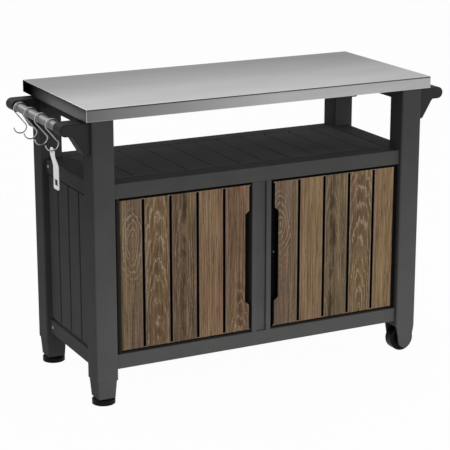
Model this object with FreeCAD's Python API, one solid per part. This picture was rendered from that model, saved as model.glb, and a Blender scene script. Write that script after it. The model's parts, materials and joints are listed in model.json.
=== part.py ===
"""Grill cart with storage: a steel-topped serving cart with a two-door cupboard.

Millimetres. X runs along the cart, the front faces -Y, +Z is up, and the origin lies on the floor
at the middle of the footprint. Each piece is written to parts/NODE.step.
"""
import FreeCAD, Part
import math
import os

V = FreeCAD.Vector

# Overall sizes
top_length = 1147.0
top_depth = 515.0
cart_height = 900.0
skirt_height = 36.3
sheet_wall = 1.0
sheet_bend = 3.0
hem_width = 12.0

# Table top core
core_fit = 0.6
core_wall = 3.0
core_pitch = 88.0
core_rows = 5

# Legs
leg_width = 69.0
leg_depth = 72.5
side_overhang = 21.2
front_overhang = 16.5
leg_wall = 4.0
leg_rounding = 6.0

# Tapered ends of the left legs
shoulder_height = 76.0
shoulder_step = 2.5
taper_inset = 6.5
sole_height = 20.0
sole_plate = 6.0

# Levelling feet
foot_radius = 35.0
foot_rim = 13.0
foot_edge = 3.0
foot_hub_radius = 14.0
stem_radius = 5.0
stem_length = 34.0
stem_fit = 0.06
stem_boss_wall = 4.0
foot_gap = 0.4

# Forked ends of the right legs
fork_height = 88.0
fork_wall = 6.0
fork_web = 4.0
tongue_half_width = 23.0
tongue_inset = 4.5
tongue_drop = 12.0
tongue_rise = 6.0
tongue_tip = 14.5

# Wheels and axles
wheel_radius = 41.0
wheel_width = 40.0
wheel_rim = 7.0
wheel_dish = 5.0
wheel_crown = 4.0
wheel_hub_radius = 11.0
wheel_side_gap = 0.4
axle_radius = 5.0
axle_fit = 0.06
axle_seat = 4.0

# Frame rails
rail_recess = 14.0
rail_height = 45.0
rail_wall = 4.0
shelf_drop = 231.5
lower_rail_top = 149.5
front_rail_width = 67.0
side_rail_width = 70.0
back_rail_width = 60.0
ledge_width = 10.0
ledge_wall = 4.0
rail_rounding = 2.0
corner_gap = 0.3
beam_setback = 1.7
beam_height = 39.0

# Shelf and floor decks
deck_edge = 8.0
deck_seam = 2.5
deck_skin = 4.0
deck_rib_depth = 12.0
deck_rib_wall = 3.0
deck_groove = 7.0
deck_groove_depth = 2.5
deck_bevel = 1.0

# Boarded side and back panels
panel_wall = 4.0
board_relief = 5.0
board_groove = 8.0
board_chamfer = 1.5
panel_setback = 3.5
side_board_pitch = 84.0
side_boards = 4

# Centre post
post_width = 65.5
post_flange = 17.0
post_channel_depth = 8.0
post_wall = 3.5
stop_overlap = 17.25
stop_wall = 5.0

# Doors
door_gap = 5.0
door_side_gap = 4.3
door_depth = 27.7
door_bottom_gap = 5.0
door_top_gap = 2.5
front_proud = 1.7
front_wall = 8.0
front_edge_gap = 1.25
front_side_gap = 17.3
front_bottom_gap = 10.0
front_top_gap = 4.5
stile_gap = 0.5
door_skin = 3.0
door_rim_wall = 3.0
door_rib_depth = 10.0
door_rib_wall = 2.5
door_rib_rows = 3
door_slots = 4
first_plank = 85.0
last_plank = 70.0
plank_groove = 8.0
groove_end_strip = 4.0
plank_chamfer = 1.2

# Finger pulls
pull_length = 305.0
pull_depth = 18.0
pull_ramp = 15.0
pull_pocket = 12.0
pull_pocket_wall = 3.0

# Door pivots
pivot_side_gap = 13.8
pivot_back = 8.3
pin_radius = 3.0
pin_fit = 0.06
pin_end_gap = 0.12
pin_seat = 18.0
pin_reach = 12.0
pin_boss_wall = 4.0
pin_collar_radius = 5.2
pin_collar_gap = 0.3

# Door catches
catch_from_edge = 10.25
catch_lift = 2.75
catch_width = 13.0
catch_height = 40.0
catch_depth = 3.5
strike_wall = 1.5
catch_gap = 0.4
pull_screw_inset = 11.5

# Screws
screw_head_radius = 6.0
screw_crown_radius = 4.0
screw_head_height = 2.6
screw_shank_radius = 2.2
screw_shank_length = 16.0
screw_fit = 0.05
screw_from_leg = 16.0
pull_screw_head_radius = 4.5
pull_screw_crown_radius = 3.2
pull_screw_head_height = 2.0
pull_screw_shank_radius = 1.75

# Handle brackets and bars
bracket_reach = 89.0
bracket_knee_reach = 51.2
bracket_foot_reach = 15.7
bracket_height = 95.0
bracket_width = 58.5
bracket_wall = 4.0
bracket_bend = 8.0
bracket_bevel = 3.5
bracket_back_bevel = 1.5
arm_height = 36.0
arm_drop = 7.7
bar_drop = 1.0
bar_radius = 14.0
bar_wall = 1.5
bar_seat = 12.0
bar_fit = 0.05

# Hooks
hook_count = 4
hook_from_front = 51.5
hook_from_back = 20.6
wire_radius = 2.0
wire_sides = 8
wire_turn_deg = 15.0
hook_loop_radius = 20.0
hook_bend_radius = 12.0
hook_loop_rise = 26.75
hook_loop_shift = 0.6
hook_lean_deg = 39.0
hook_mouth_deg = 5.0
hook_rest_gap = 0.4

# Bottle opener
opener_length = 126.0
opener_top_width = 32.0
opener_foot_width = 38.0
opener_wall = 3.0
opener_joggle = 10.0
opener_joggle_start = 28.0
opener_joggle_length = 26.0
opener_eye_width = 9.0
opener_eye_height = 8.0
opener_eye_drop = 8.0
opener_top_rounding = 12.0
opener_foot_rounding = 4.0
opener_window_width = 20.0
opener_window_height = 18.0
opener_window_rise = 12.0
opener_rest_gap = 0.4

# Places worked out from the sizes above
leg_outer_x = top_length / 2 - side_overhang
leg_inner_x = leg_outer_x - leg_width
leg_outer_y = top_depth / 2 - front_overhang
leg_inner_y = leg_outer_y - leg_depth
leg_x = (leg_outer_x + leg_inner_x) / 2
leg_y = (leg_outer_y + leg_inner_y) / 2
skirt_bottom = cart_height - skirt_height
upper_rail_top = cart_height - shelf_drop
core_bottom = skirt_bottom + sheet_wall + core_fit
rail_face_x = leg_outer_x - rail_recess
rail_face_y = leg_outer_y - rail_recess
front_rail_inner = rail_face_y - front_rail_width
back_rail_inner = rail_face_y - back_rail_width
side_rail_inner = rail_face_x - side_rail_width
beam_inner = leg_inner_x + beam_setback
upper_rail_bottom = upper_rail_top - rail_height
lower_rail_bottom = lower_rail_top - rail_height
door_back = rail_face_y - door_depth
door_bottom = lower_rail_top + door_bottom_gap
door_top = upper_rail_bottom - door_top_gap
front_face_y = rail_face_y + front_proud
liner_face_y = front_face_y - front_wall
pivot_y = rail_face_y - pivot_back
door_inner = post_width / 2 + door_gap
door_outer = leg_inner_x - door_side_gap
front_inner = door_inner + front_edge_gap
front_outer = leg_inner_x - front_side_gap
front_bottom = lower_rail_top + front_bottom_gap
front_top = upper_rail_bottom - front_top_gap
front_middle = (front_bottom + front_top) / 2
first_groove = front_inner + first_plank + plank_groove / 2
board_pitch = (front_outer - last_plank - plank_groove / 2 - first_groove) / (door_slots - 1)
pull_bottom = front_middle - pull_length / 2
pull_top = front_middle + pull_length / 2
pivot_x = leg_inner_x - pivot_side_gap
catch_x = door_inner + catch_from_edge
catch_z = front_middle + catch_lift
stop_front = -rail_face_y + door_depth + catch_gap
stop_reach = door_inner + stop_overlap
pull_screw_x = front_inner + pull_screw_inset
bracket_inner = leg_inner_y
bracket_outer = bracket_inner + bracket_width
bracket_tip = leg_outer_x + bracket_reach
bracket_knee_x = leg_outer_x + bracket_knee_reach
bracket_foot_x = leg_outer_x + bracket_foot_reach
arm_top = skirt_bottom - arm_drop
arm_bottom = arm_top - arm_height
bracket_bottom = arm_top - bracket_height
bar_x = bracket_tip - arm_height / 2
bar_z = arm_bottom + arm_height / 2 - bar_drop
hook_first_y = hook_from_front - bracket_inner
hook_pitch = (2 * bracket_inner - hook_from_front - hook_from_back) / (hook_count - 1)
SIDES = {"left": -1, "right": 1}
ENDS = {"front": -1, "back": 1}


def block(x0, x1, y0, y1, z0, z1):
    """Returns a box between two corners given as low and high values in any order."""
    low = V(min(x0, x1), min(y0, y1), min(z0, z1))
    return Part.makeBox(abs(x1 - x0), abs(y1 - y0), abs(z1 - z0), low)


def drum(radius, length, base, axis=V(0, 0, 1)):
    """Returns a cylinder from base along axis."""
    return Part.makeCylinder(radius, length, base, axis)


def polygon(points):
    """Returns a closed wire through the points."""
    return Part.makePolygon(list(points) + [points[0]])


def prism(points, direction):
    """Returns the solid swept by a polygon along a direction."""
    return Part.Face(polygon(points)).extrude(direction)


def mirror_x(shape):
    """Returns the shape mirrored left to right."""
    return shape.mirror(V(0, 0, 0), V(1, 0, 0))


def mirror_y(shape):
    """Returns the shape mirrored front to back."""
    return shape.mirror(V(0, 0, 0), V(0, 1, 0))


def place_corner(shape, side, end):
    """Returns a piece modelled at the right back corner, moved to another corner by mirroring."""
    if side < 0:
        shape = mirror_x(shape)
    if end < 0:
        shape = mirror_y(shape)
    return shape


def edges_along(shape, axis, test=None):
    """Returns the straight edges that run along an axis, those that pass a test on their middle."""
    found = []
    for edge in shape.Edges:
        if not isinstance(edge.Curve, Part.Line):
            continue
        if abs(abs(edge.Curve.Direction.dot(axis)) - 1) > 1e-6:
            continue
        if test is None or test(edge.CenterOfMass):
            found.append(edge)
    return found


def fuse_all(shapes):
    """Returns one shape made of all the shapes."""
    result = shapes[0]
    if len(shapes) > 1:
        result = result.multiFuse(shapes[1:])
    return result.removeSplitter()


def cut_all(shape, tools):
    """Returns the shape with every tool taken away."""
    return shape.cut(Part.makeCompound(tools)) if tools else shape


def spread(count, pitch):
    """Returns count places spaced evenly about zero."""
    return [(index - (count - 1) / 2) * pitch for index in range(count)]


# Table top

def make_tabletop_sheet():
    """Returns the folded steel top: a flat sheet, four skirts and an inward hem."""
    half_x = top_length / 2
    half_y = top_depth / 2
    outer = block(-half_x, half_x, -half_y, half_y, skirt_bottom, cart_height)
    rim = edges_along(outer, V(0, 0, 1))
    rim += [e for e in outer.Edges if abs(e.CenterOfMass.z - cart_height) < 1e-6]
    outer = outer.makeFillet(sheet_bend, rim)
    inner_x = half_x - sheet_wall
    inner_y = half_y - sheet_wall
    room_top = cart_height - sheet_wall
    room = block(-inner_x, inner_x, -inner_y, inner_y, skirt_bottom + sheet_wall, room_top)
    rim = edges_along(room, V(0, 0, 1))
    rim += [e for e in room.Edges if abs(e.CenterOfMass.z - room_top) < 1e-6]
    room = room.makeChamfer(sheet_bend - sheet_wall, rim)
    mouth = block(-half_x + hem_width, half_x - hem_width, -half_y + hem_width, half_y - hem_width,
                  skirt_bottom - 1, skirt_bottom + sheet_wall + 1)
    return outer.cut(room).cut(mouth)


def make_tabletop_core():
    """Returns the ribbed moulding inside the steel top, with plates over the legs and beams."""
    half_x = top_length / 2 - sheet_wall - core_fit
    half_y = top_depth / 2 - sheet_wall - core_fit
    top = cart_height - sheet_wall
    body = block(-half_x, half_x, -half_y, half_y, core_bottom, top)
    body = body.makeFillet(sheet_bend, edges_along(body, V(0, 0, 1)))
    rim = [e for e in body.Edges if abs(e.CenterOfMass.z - top) < 1e-6]
    body = body.makeChamfer(sheet_bend - sheet_wall, rim)
    columns = int(half_x * 2 // core_pitch)
    cell_x = (2 * half_x - core_wall) / columns
    cell_y = (2 * half_y - core_wall) / core_rows
    pockets = []
    for column in range(columns):
        for row in range(core_rows):
            x0 = -half_x + core_wall + column * cell_x
            y0 = -half_y + core_wall + row * cell_y
            pockets.append(block(x0, x0 + cell_x - core_wall, y0, y0 + cell_y - core_wall,
                                 core_bottom - 1, top - core_wall))
    body = cut_all(body, pockets)
    pads = []
    for side in SIDES.values():
        pads.append(block(side * leg_inner_x, side * leg_outer_x, -leg_outer_y, leg_outer_y,
                          core_bottom, core_bottom + core_wall))
    return fuse_all([body] + pads)


# Legs

def leg_tube(bottom):
    """Returns the outer form of a right back leg from a height up to the table top core."""
    tube = block(leg_inner_x, leg_outer_x, leg_inner_y, leg_outer_y, bottom, core_bottom)
    return tube.makeFillet(leg_rounding, edges_along(tube, V(0, 0, 1)))


def leg_bore(bottom, wall):
    """Returns the room inside a right back leg, from a height up through the top."""
    return block(leg_inner_x + wall, leg_outer_x - wall, leg_inner_y + wall, leg_outer_y - wall,
                 bottom, core_bottom + 1)


def rounded_wire(half_x, half_y, radius, z):
    """Returns a rectangle with round corners about the leg's axis at a height."""
    corners = [(1, 1), (-1, 1), (-1, -1), (1, -1)]
    edges = []
    points = []
    for index, (sx, sy) in enumerate(corners):
        centre = V(leg_x + sx * (half_x - radius), leg_y + sy * (half_y - radius), z)
        start = math.radians(90 * index)
        arc = [centre + V(math.cos(start + a), math.sin(start + a), 0) * radius
               for a in (0, math.pi / 4, math.pi / 2)]
        points.append(arc)
    for index, arc in enumerate(points):
        edges.append(Part.Arc(*arc).toShape())
        edges.append(Part.LineSegment(arc[2], points[(index + 1) % 4][0]).toShape())
    return Part.Wire(edges)


def plain_wire(half_x, half_y, z):
    """Returns a rectangle with square corners about the leg's axis at a height."""
    return polygon([V(leg_x + sx * half_x, leg_y + sy * half_y, z)
                    for sx, sy in ((1, 1), (-1, 1), (-1, -1), (1, -1))])


def make_foot_leg():
    """Returns a leg with a shoulder and a tapered end that a levelling foot screws into."""
    upper = leg_tube(shoulder_height)
    top_x = leg_width / 2 - shoulder_step
    top_y = leg_depth / 2 - shoulder_step
    taper = Part.makeLoft([rounded_wire(top_x, top_y, leg_rounding, shoulder_height),
                           rounded_wire(leg_width / 2 - taper_inset, leg_depth / 2 - taper_inset,
                                        leg_rounding, sole_height)], True, True)
    body = upper.fuse(taper)
    body = body.cut(leg_bore(shoulder_height + leg_wall, leg_wall))
    inner = Part.makeLoft([plain_wire(top_x - leg_wall, top_y - leg_wall, shoulder_height + leg_wall),
                           plain_wire(leg_width / 2 - taper_inset - leg_wall,
                                      leg_depth / 2 - taper_inset - leg_wall,
                                      sole_height + sole_plate)], True, True)
    body = body.cut(inner)
    bore_radius = stem_radius + stem_fit
    boss = drum(bore_radius + stem_boss_wall, stem_length + stem_boss_wall, V(leg_x, leg_y, sole_height))
    body = body.fuse(boss)
    return body.cut(drum(bore_radius, stem_length + 1, V(leg_x, leg_y, sole_height - 1)))


def fork_outline():
    """Returns the front outline of a forked leg, with its tapered and rounded tongue."""
    centre_z = tongue_tip + tongue_half_width
    shoulder = fork_height - tongue_drop
    right = V(leg_x + tongue_half_width, leg_inner_y, centre_z)
    left = V(leg_x - tongue_half_width, leg_inner_y, centre_z)
    tip = V(leg_x, leg_inner_y, tongue_tip)
    bends = [V(leg_inner_x, leg_inner_y, fork_height + tongue_rise),
             V(leg_inner_x + tongue_inset, leg_inner_y, shoulder)]
    path = [V(leg_outer_x, leg_inner_y, core_bottom), V(leg_inner_x, leg_inner_y, core_bottom)]
    path += bends + [left]
    back = [right, V(leg_outer_x - tongue_inset, leg_inner_y, shoulder),
            V(leg_outer_x, leg_inner_y, fork_height + tongue_rise)]
    edges = [Part.LineSegment(a, b).toShape() for a, b in zip(path, path[1:])]
    edges.append(Part.Arc(left, tip, right).toShape())
    back.append(path[0])
    edges += [Part.LineSegment(a, b).toShape() for a, b in zip(back, back[1:])]
    return Part.Face(Part.Wire(edges))


def make_wheel_leg():
    """Returns a leg that ends in a fork with one tongue in front of the wheel and one behind it."""
    body = leg_tube(tongue_tip)
    body = body.common(fork_outline().extrude(V(0, leg_depth, 0)))
    body = body.cut(leg_bore(fork_height + fork_web, leg_wall))
    room = block(leg_inner_x - 1, leg_outer_x + 1, leg_inner_y + fork_wall, leg_outer_y - fork_wall,
                 tongue_tip - 1, fork_height)
    rim = edges_along(room, V(1, 0, 0), lambda c: c.z > fork_height - 1)
    body = body.cut(room.makeFillet(fork_wall, rim))
    seat = drum(axle_radius + axle_fit, leg_depth - 2 * (fork_wall - axle_seat),
                V(leg_x, leg_inner_y + fork_wall - axle_seat, wheel_radius), V(0, 1, 0))
    return body.cut(seat)


def make_foot():
    """Returns a levelling foot: a domed disc, a hub and a stem that stands in the leg's boss."""
    hub_top = sole_height - foot_gap
    profile = [V(0, 0, 0), V(foot_radius, 0, 0), V(foot_radius, 0, foot_rim),
               V(foot_radius - foot_edge, 0, foot_rim + foot_edge),
               V(foot_hub_radius, 0, foot_rim + foot_edge), V(foot_hub_radius, 0, hub_top),
               V(stem_radius, 0, hub_top), V(stem_radius, 0, sole_height + stem_length - foot_gap),
               V(0, 0, sole_height + stem_length - foot_gap)]
    foot = Part.Face(polygon(profile)).revolve(V(0, 0, 0), V(0, 0, 1), 360)
    foot.translate(V(leg_x, leg_y, 0))
    return foot


def make_wheel():
    """Returns a wheel with a crowned tread, dished sides and a long hub."""
    half = wheel_width / 2
    hub_half = (leg_depth / 2 - fork_wall) - wheel_side_gap
    bore = axle_radius + axle_fit
    inner = wheel_radius - wheel_rim
    upper = [V(wheel_radius, 0, half - wheel_crown), V(wheel_radius - wheel_crown, 0, half),
             V(inner, 0, half), V(inner, 0, half - wheel_dish), V(wheel_hub_radius, 0, half - wheel_dish),
             V(wheel_hub_radius, 0, hub_half), V(bore, 0, hub_half)]
    lower = [V(point.x, 0, -point.z) for point in reversed(upper)]
    wheel = Part.Face(polygon(lower + upper)).revolve(V(0, 0, 0), V(0, 0, 1), 360)
    wheel.rotate(V(0, 0, 0), V(1, 0, 0), 90)
    wheel.translate(V(leg_x, leg_y, wheel_radius))
    return wheel


def make_axle():
    """Returns the axle that sits in blind seats in the fork's two tongues."""
    length = leg_depth - 2 * (fork_wall - axle_seat)
    start = V(leg_x, leg_inner_y + fork_wall - axle_seat, wheel_radius)
    return drum(axle_radius, length, start, V(0, 1, 0))


# Frame rails

def rail_section(width):
    """Returns the closed section of a rail and its ledge, as distances in from its face and up."""
    ledge_top = rail_height - deck_edge
    ledge_bottom = ledge_top - ledge_wall
    return [(0, 0), (width, 0), (width, ledge_bottom), (width + ledge_width, ledge_bottom),
            (width + ledge_width, ledge_top), (width, ledge_top), (width, rail_height), (0, rail_height)]


def rail_room(width):
    """Returns the section of the room inside a rail."""
    return [(rail_wall, rail_wall), (width - rail_wall, rail_wall),
            (width - rail_wall, rail_height - rail_wall), (rail_wall, rail_height - rail_wall)]


def long_rail(width, face_y, bottom, inward):
    """Returns a front or back rail between the legs, hollow and open at both ends."""
    def points(section):
        return [V(-leg_inner_x, face_y + inward * u, bottom + v) for u, v in section]
    length = V(2 * leg_inner_x, 0, 0)
    rail = prism(points(rail_section(width)), length)
    edge = edges_along(rail, V(1, 0, 0), lambda c: abs(c.y - face_y) < 1e-6)
    rail = rail.makeFillet(rail_rounding, edge)
    rail = rail.cut(prism(points(rail_room(width)), length))
    ledge_y = face_y + inward * width
    trims = [block(side * (side_rail_inner - ledge_width - corner_gap), side * (leg_inner_x + 1),
                   ledge_y, ledge_y + inward * (ledge_width + 1), bottom - 1, bottom + rail_height + 1)
             for side in SIDES.values()]
    return cut_all(rail, trims)


def pin_bosses(z0, z1, drill0, drill1):
    """Returns the bosses round the door pins in a front rail, and the bores through them."""
    bosses = []
    bores = []
    for side in SIDES.values():
        foot = V(side * pivot_x, -pivot_y, z0)
        bosses.append(drum(pin_radius + pin_fit + pin_boss_wall, z1 - z0, foot))
        bores.append(drum(pin_radius + pin_fit, drill1 - drill0, V(side * pivot_x, -pivot_y, drill0)))
    return bosses, bores


def make_front_upper_rail():
    """Returns the front rail over the doors, with a bored boss for each door's upper pin."""
    rail = long_rail(front_rail_width, -rail_face_y, upper_rail_bottom, 1)
    top = upper_rail_bottom + pin_reach + pin_boss_wall
    bosses, bores = pin_bosses(upper_rail_bottom, top, upper_rail_bottom - 1, upper_rail_bottom + pin_reach)
    return cut_all(fuse_all([rail] + bosses), bores)


def make_front_lower_rail():
    """Returns the front rail under the doors, with a bored boss for each door's lower pin."""
    rail = long_rail(front_rail_width, -rail_face_y, lower_rail_bottom, 1)
    low = lower_rail_top - pin_reach - pin_boss_wall
    bosses, bores = pin_bosses(low, lower_rail_top, lower_rail_top - pin_reach, lower_rail_top + 1)
    return cut_all(fuse_all([rail] + bosses), bores)


def screw_places(bottom):
    """Returns the screw centres on a right side rail."""
    return [V(rail_face_x, end * (leg_inner_y - screw_from_leg), bottom + rail_height / 2)
            for end in ENDS.values()]


def make_side_rail(bottom):
    """Returns a right side rail between the legs, notched round the front and back rails."""
    def points(section):
        return [V(rail_face_x - u, -leg_inner_y, bottom + v) for u, v in section]
    length = V(0, 2 * leg_inner_y, 0)
    rail = prism(points(rail_section(side_rail_width)), length)
    edge = edges_along(rail, V(0, 1, 0), lambda c: abs(c.x - rail_face_x) < 1e-6)
    rail = rail.makeFillet(rail_rounding, edge)
    rail = rail.cut(prism(points(rail_room(side_rail_width)), length))
    inner = side_rail_inner - ledge_width - 1
    outer = leg_inner_x + corner_gap
    trims = []
    for inward, width in ((-1, front_rail_width), (1, back_rail_width)):
        near = inward * (rail_face_y - width - corner_gap)
        trims.append(block(inner, outer, near, inward * (leg_inner_y + 1),
                           bottom - 1, bottom + rail_height + 1))
    rail = cut_all(rail, trims)
    bores = [drum(screw_shank_radius + screw_fit, rail_wall + 2, place + V(1, 0, 0), V(-1, 0, 0))
             for place in screw_places(bottom)]
    return cut_all(rail, bores)


def make_rail_screws():
    """Returns the four round-headed screws of the right side rails."""
    screws = []
    for bottom in (lower_rail_bottom, upper_rail_bottom):
        for place in screw_places(bottom):
            head = Part.makeCone(screw_head_radius, screw_crown_radius, screw_head_height, place, V(1, 0, 0))
            shank = drum(screw_shank_radius, screw_shank_length, place, V(-1, 0, 0))
            screws.append(head.fuse(shank))
    return Part.makeCompound(screws)


def make_side_beam():
    """Returns the right beam under the table top, from front leg to back leg."""
    beam = block(beam_inner, rail_face_x, -leg_inner_y, leg_inner_y, core_bottom - beam_height, core_bottom)
    edges = edges_along(beam, V(0, 1, 0), lambda c: c.z < core_bottom - 1)
    beam = beam.makeFillet(rail_rounding, edges)
    room = block(beam_inner + rail_wall, rail_face_x - rail_wall, -leg_inner_y, leg_inner_y,
                 core_bottom - beam_height + rail_wall, core_bottom - rail_wall)
    return beam.cut(room)


# Decks and panels

def make_deck(top):
    """Returns a grooved deck that lies on the rails' ledges, with its surface at a height."""
    half_x = side_rail_inner - deck_seam
    y0 = -front_rail_inner + deck_seam
    y1 = back_rail_inner - deck_seam
    deck = block(-half_x, half_x, y0, y1, top - deck_edge, top)
    deck = deck.makeChamfer(deck_bevel, [e for e in deck.Edges if abs(e.CenterOfMass.z - top) < 1e-6])
    ledge_x = side_rail_inner - ledge_width - corner_gap
    rim_y0 = -front_rail_inner + ledge_width + corner_gap
    rim_y1 = back_rail_inner - ledge_width - corner_gap
    under = top - deck_skin
    hollow = block(-ledge_x + deck_rib_wall, ledge_x - deck_rib_wall, rim_y0 + deck_rib_wall,
                   rim_y1 - deck_rib_wall, top - deck_edge - 1, under)
    deck = deck.cut(hollow)
    foot = top - deck_edge - deck_rib_depth
    ribs = [block(-ledge_x, ledge_x, rim_y0, rim_y0 + deck_rib_wall, foot, under),
            block(-ledge_x, ledge_x, rim_y1 - deck_rib_wall, rim_y1, foot, under)]
    lines = groove_lines()
    for x in [0.0] + [line + math.copysign(board_pitch / 2, line) for line in lines]:
        ribs.append(block(x - deck_rib_wall / 2, x + deck_rib_wall / 2, rim_y0, rim_y1, foot, under))
    for side in SIDES.values():
        ribs.append(block(side * (ledge_x - deck_rib_wall), side * ledge_x, rim_y0, rim_y1, foot, under))
    deck = fuse_all([deck] + ribs)
    grooves = [block(x - deck_groove / 2, x + deck_groove / 2, y0 - 1, y1 + 1,
                     top - deck_groove_depth, top + 1) for x in lines]
    return cut_all(deck, grooves)


def groove_lines():
    """Returns the places of the grooves that the doors, decks and back panel share, left to right."""
    right = [first_groove + (index - 1) * board_pitch for index in range(door_slots + 1)]
    return [-x for x in reversed(right)] + right


def raised_board(low, high, z0, z1, face, out, across):
    """Returns one board standing proud of a panel's wall, and the pocket pressed behind it."""
    def corner(u, d, z):
        return V(face + out * d, u, z) if across == "y" else V(u, face + out * d, z)
    c = board_chamfer
    ring = [corner(low, 0, z0), corner(low, board_relief - c, z0), corner(low + c, board_relief, z0),
            corner(high - c, board_relief, z0), corner(high, board_relief - c, z0), corner(high, 0, z0)]
    board = prism(ring, V(0, 0, z1 - z0))
    w = panel_wall
    pocket = prism([corner(low + w, -w - 1, z0 + w), corner(low + w, board_relief - w, z0 + w),
                    corner(high - w, board_relief - w, z0 + w), corner(high - w, -w - 1, z0 + w)],
                   V(0, 0, z1 - z0 - 2 * w))
    return board, pocket


def make_side_panel():
    """Returns the right side panel: a wall with four raised boards between the side rails."""
    face = rail_face_x - panel_setback - board_relief
    wall = block(face - panel_wall, face, -leg_inner_y, leg_inner_y, lower_rail_top, upper_rail_bottom)
    edges = [-leg_inner_y + board_groove / 2]
    edges += [y for y in spread(side_boards - 1, side_board_pitch)]
    edges.append(leg_inner_y - board_groove / 2)
    boards = []
    pockets = []
    for low, high in zip(edges, edges[1:]):
        board, pocket = raised_board(low + board_groove / 2, high - board_groove / 2,
                                     front_bottom, front_top, face, 1, "y")
        boards.append(board)
        pockets.append(pocket)
    return cut_all(fuse_all([wall] + boards), pockets)


def make_back_panel():
    """Returns the back panel between the legs, with raised boards on its outer side."""
    face = rail_face_y - panel_setback - board_relief
    wall = block(-leg_inner_x, leg_inner_x, face - panel_wall, face, lower_rail_top, upper_rail_bottom)
    limit = leg_inner_x - board_groove / 2
    edges = [-limit] + groove_lines() + [limit]
    boards = []
    pockets = []
    for low, high in zip(edges, edges[1:]):
        board, pocket = raised_board(low + board_groove / 2, high - board_groove / 2,
                                     front_bottom, front_top, face, 1, "x")
        boards.append(board)
        pockets.append(pocket)
    return cut_all(fuse_all([wall] + boards), pockets)


# Centre post, catches and doors

def make_post():
    """Returns the post between the doors: two raised flanges and a channel, open at the back."""
    half = post_width / 2
    channel = half - post_flange
    face = -rail_face_y
    floor = face + post_channel_depth
    w = post_wall
    outline = [(-half, stop_front), (-half, face), (-channel, face), (-channel, floor), (channel, floor),
               (channel, face), (half, face), (half, stop_front)]
    post = prism([V(x, y, lower_rail_top) for x, y in outline], V(0, 0, upper_rail_bottom - lower_rail_top))
    front = edges_along(post, V(0, 0, 1), lambda c: abs(c.y - face) < 1e-6)
    post = post.makeFillet(rail_rounding, front)
    room = [(-half + w, stop_front + 1), (-half + w, face + w), (-channel - w, face + w),
            (-channel - w, floor + w), (channel + w, floor + w), (channel + w, face + w),
            (half - w, face + w), (half - w, stop_front + 1)]
    return post.cut(prism([V(x, y, lower_rail_top - 1) for x, y in room],
                          V(0, 0, upper_rail_bottom - lower_rail_top + 2)))


def make_door_stop():
    """Returns the plate that closes the post's back and stops both doors, with pockets for the catches."""
    plate = block(-stop_reach, stop_reach, stop_front, stop_front + stop_wall, lower_rail_top,
                  upper_rail_bottom)
    pockets = [block(side * (catch_x - catch_width / 2), side * (catch_x + catch_width / 2),
                     stop_front - 1, stop_front + catch_depth,
                     catch_z - catch_height / 2, catch_z + catch_height / 2)
               for side in SIDES.values()]
    return cut_all(plate, pockets)


def make_catch():
    """Returns the magnet of the right door's catch, set flush in the door stop."""
    return block(catch_x - catch_width / 2, catch_x + catch_width / 2, stop_front, stop_front + catch_depth,
                 catch_z - catch_height / 2, catch_z + catch_height / 2)


def pull_outline(inner, depth):
    """Returns the outline of the finger pull, wide at the door's edge and ramped at both ends."""
    return [(inner, pull_bottom), (inner + depth, pull_bottom + pull_ramp),
            (inner + depth, pull_top - pull_ramp), (inner, pull_top)]


def make_door_panel():
    """Returns the right door's inner panel: a tray with ribs, a pivot stile and the pull's pocket."""
    y0 = -liner_face_y
    y1 = -door_back
    tray = block(door_inner, door_outer, y0, y1, door_bottom, door_top)
    w = door_rim_wall
    stile_x = front_outer + stile_gap
    hollow = block(door_inner + w, stile_x - w, y0 + door_skin, y1 + 1, door_bottom + w, door_top - w)
    tray = tray.cut(hollow)
    stile = block(stile_x - w, door_outer, -rail_face_y, y1, door_bottom, door_top)
    stile = stile.cut(block(stile_x - w - 1, stile_x, -rail_face_y - 1, y0, door_bottom - 1, door_top + 1))
    edge = edges_along(stile, V(0, 0, 1), lambda c: c.x > door_outer - 1)
    stile = stile.makeFillet(rail_rounding, edge)
    rib_back = y0 + door_skin + door_rib_depth
    ribs = []
    half = door_rib_wall / 2
    for x in groove_lines()[-door_slots:]:
        ribs.append(block(x - half, x + half, y0, rib_back, door_bottom, door_top))
    step = (door_top - door_bottom) / (door_rib_rows + 1)
    for row in range(door_rib_rows):
        z = door_bottom + step * (row + 1)
        ribs.append(block(door_inner, stile_x, y0, rib_back, z - half, z + half))
    depth = front_inner + pull_depth - door_inner + 1
    grown = pull_outline(door_inner, depth + pull_pocket_wall)
    block_y = y0 + pull_pocket + pull_pocket_wall
    cup = prism([V(x, y0, z) for x, z in grown], V(0, pull_pocket + pull_pocket_wall, 0))
    pad = block(catch_x - catch_width / 2, catch_x + catch_width / 2, block_y - 1, y1 - strike_wall,
                catch_z - catch_height / 2, catch_z + catch_height / 2)
    solid = fuse_all([tray, stile, cup, pad] + ribs)
    pocket = prism([V(x, y0 - 1, z) for x, z in pull_outline(door_inner - 1, depth + 1)],
                   V(0, pull_pocket + 1, 0))
    bores = [drum(pin_radius + pin_fit, pin_seat + 1, V(pivot_x, -pivot_y, door_bottom - 1)),
             drum(pin_radius + pin_fit, pin_seat + 1, V(pivot_x, -pivot_y, door_top - pin_seat))]
    bores.append(drum(pull_screw_shank_radius + screw_fit, door_depth, V(pull_screw_x, y0, catch_z),
                      V(0, 1, 0)))
    return cut_all(solid, [pocket] + bores)


def make_door_front():
    """Returns the right door's wood-look front: planks parted by slots that stop short of its ends."""
    y0 = -front_face_y
    front = block(front_inner, front_outer, y0, -liner_face_y, front_bottom, front_top)
    slots = []
    for x in groove_lines()[-door_slots:]:
        slots.append(block(x - plank_groove / 2, x + plank_groove / 2, y0 - 1, -liner_face_y + 1,
                           front_bottom + groove_end_strip, front_top - groove_end_strip))
    notch = prism([V(x, y0 - 1, z) for x, z in pull_outline(front_inner - 1, pull_depth + 1)],
                  V(0, front_wall + 2, 0))
    front = cut_all(front, slots + [notch])
    rim = [e for e in front.Edges if abs(e.CenterOfMass.y - y0) < 1e-6]
    return front.makeChamfer(plank_chamfer, rim)


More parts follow.
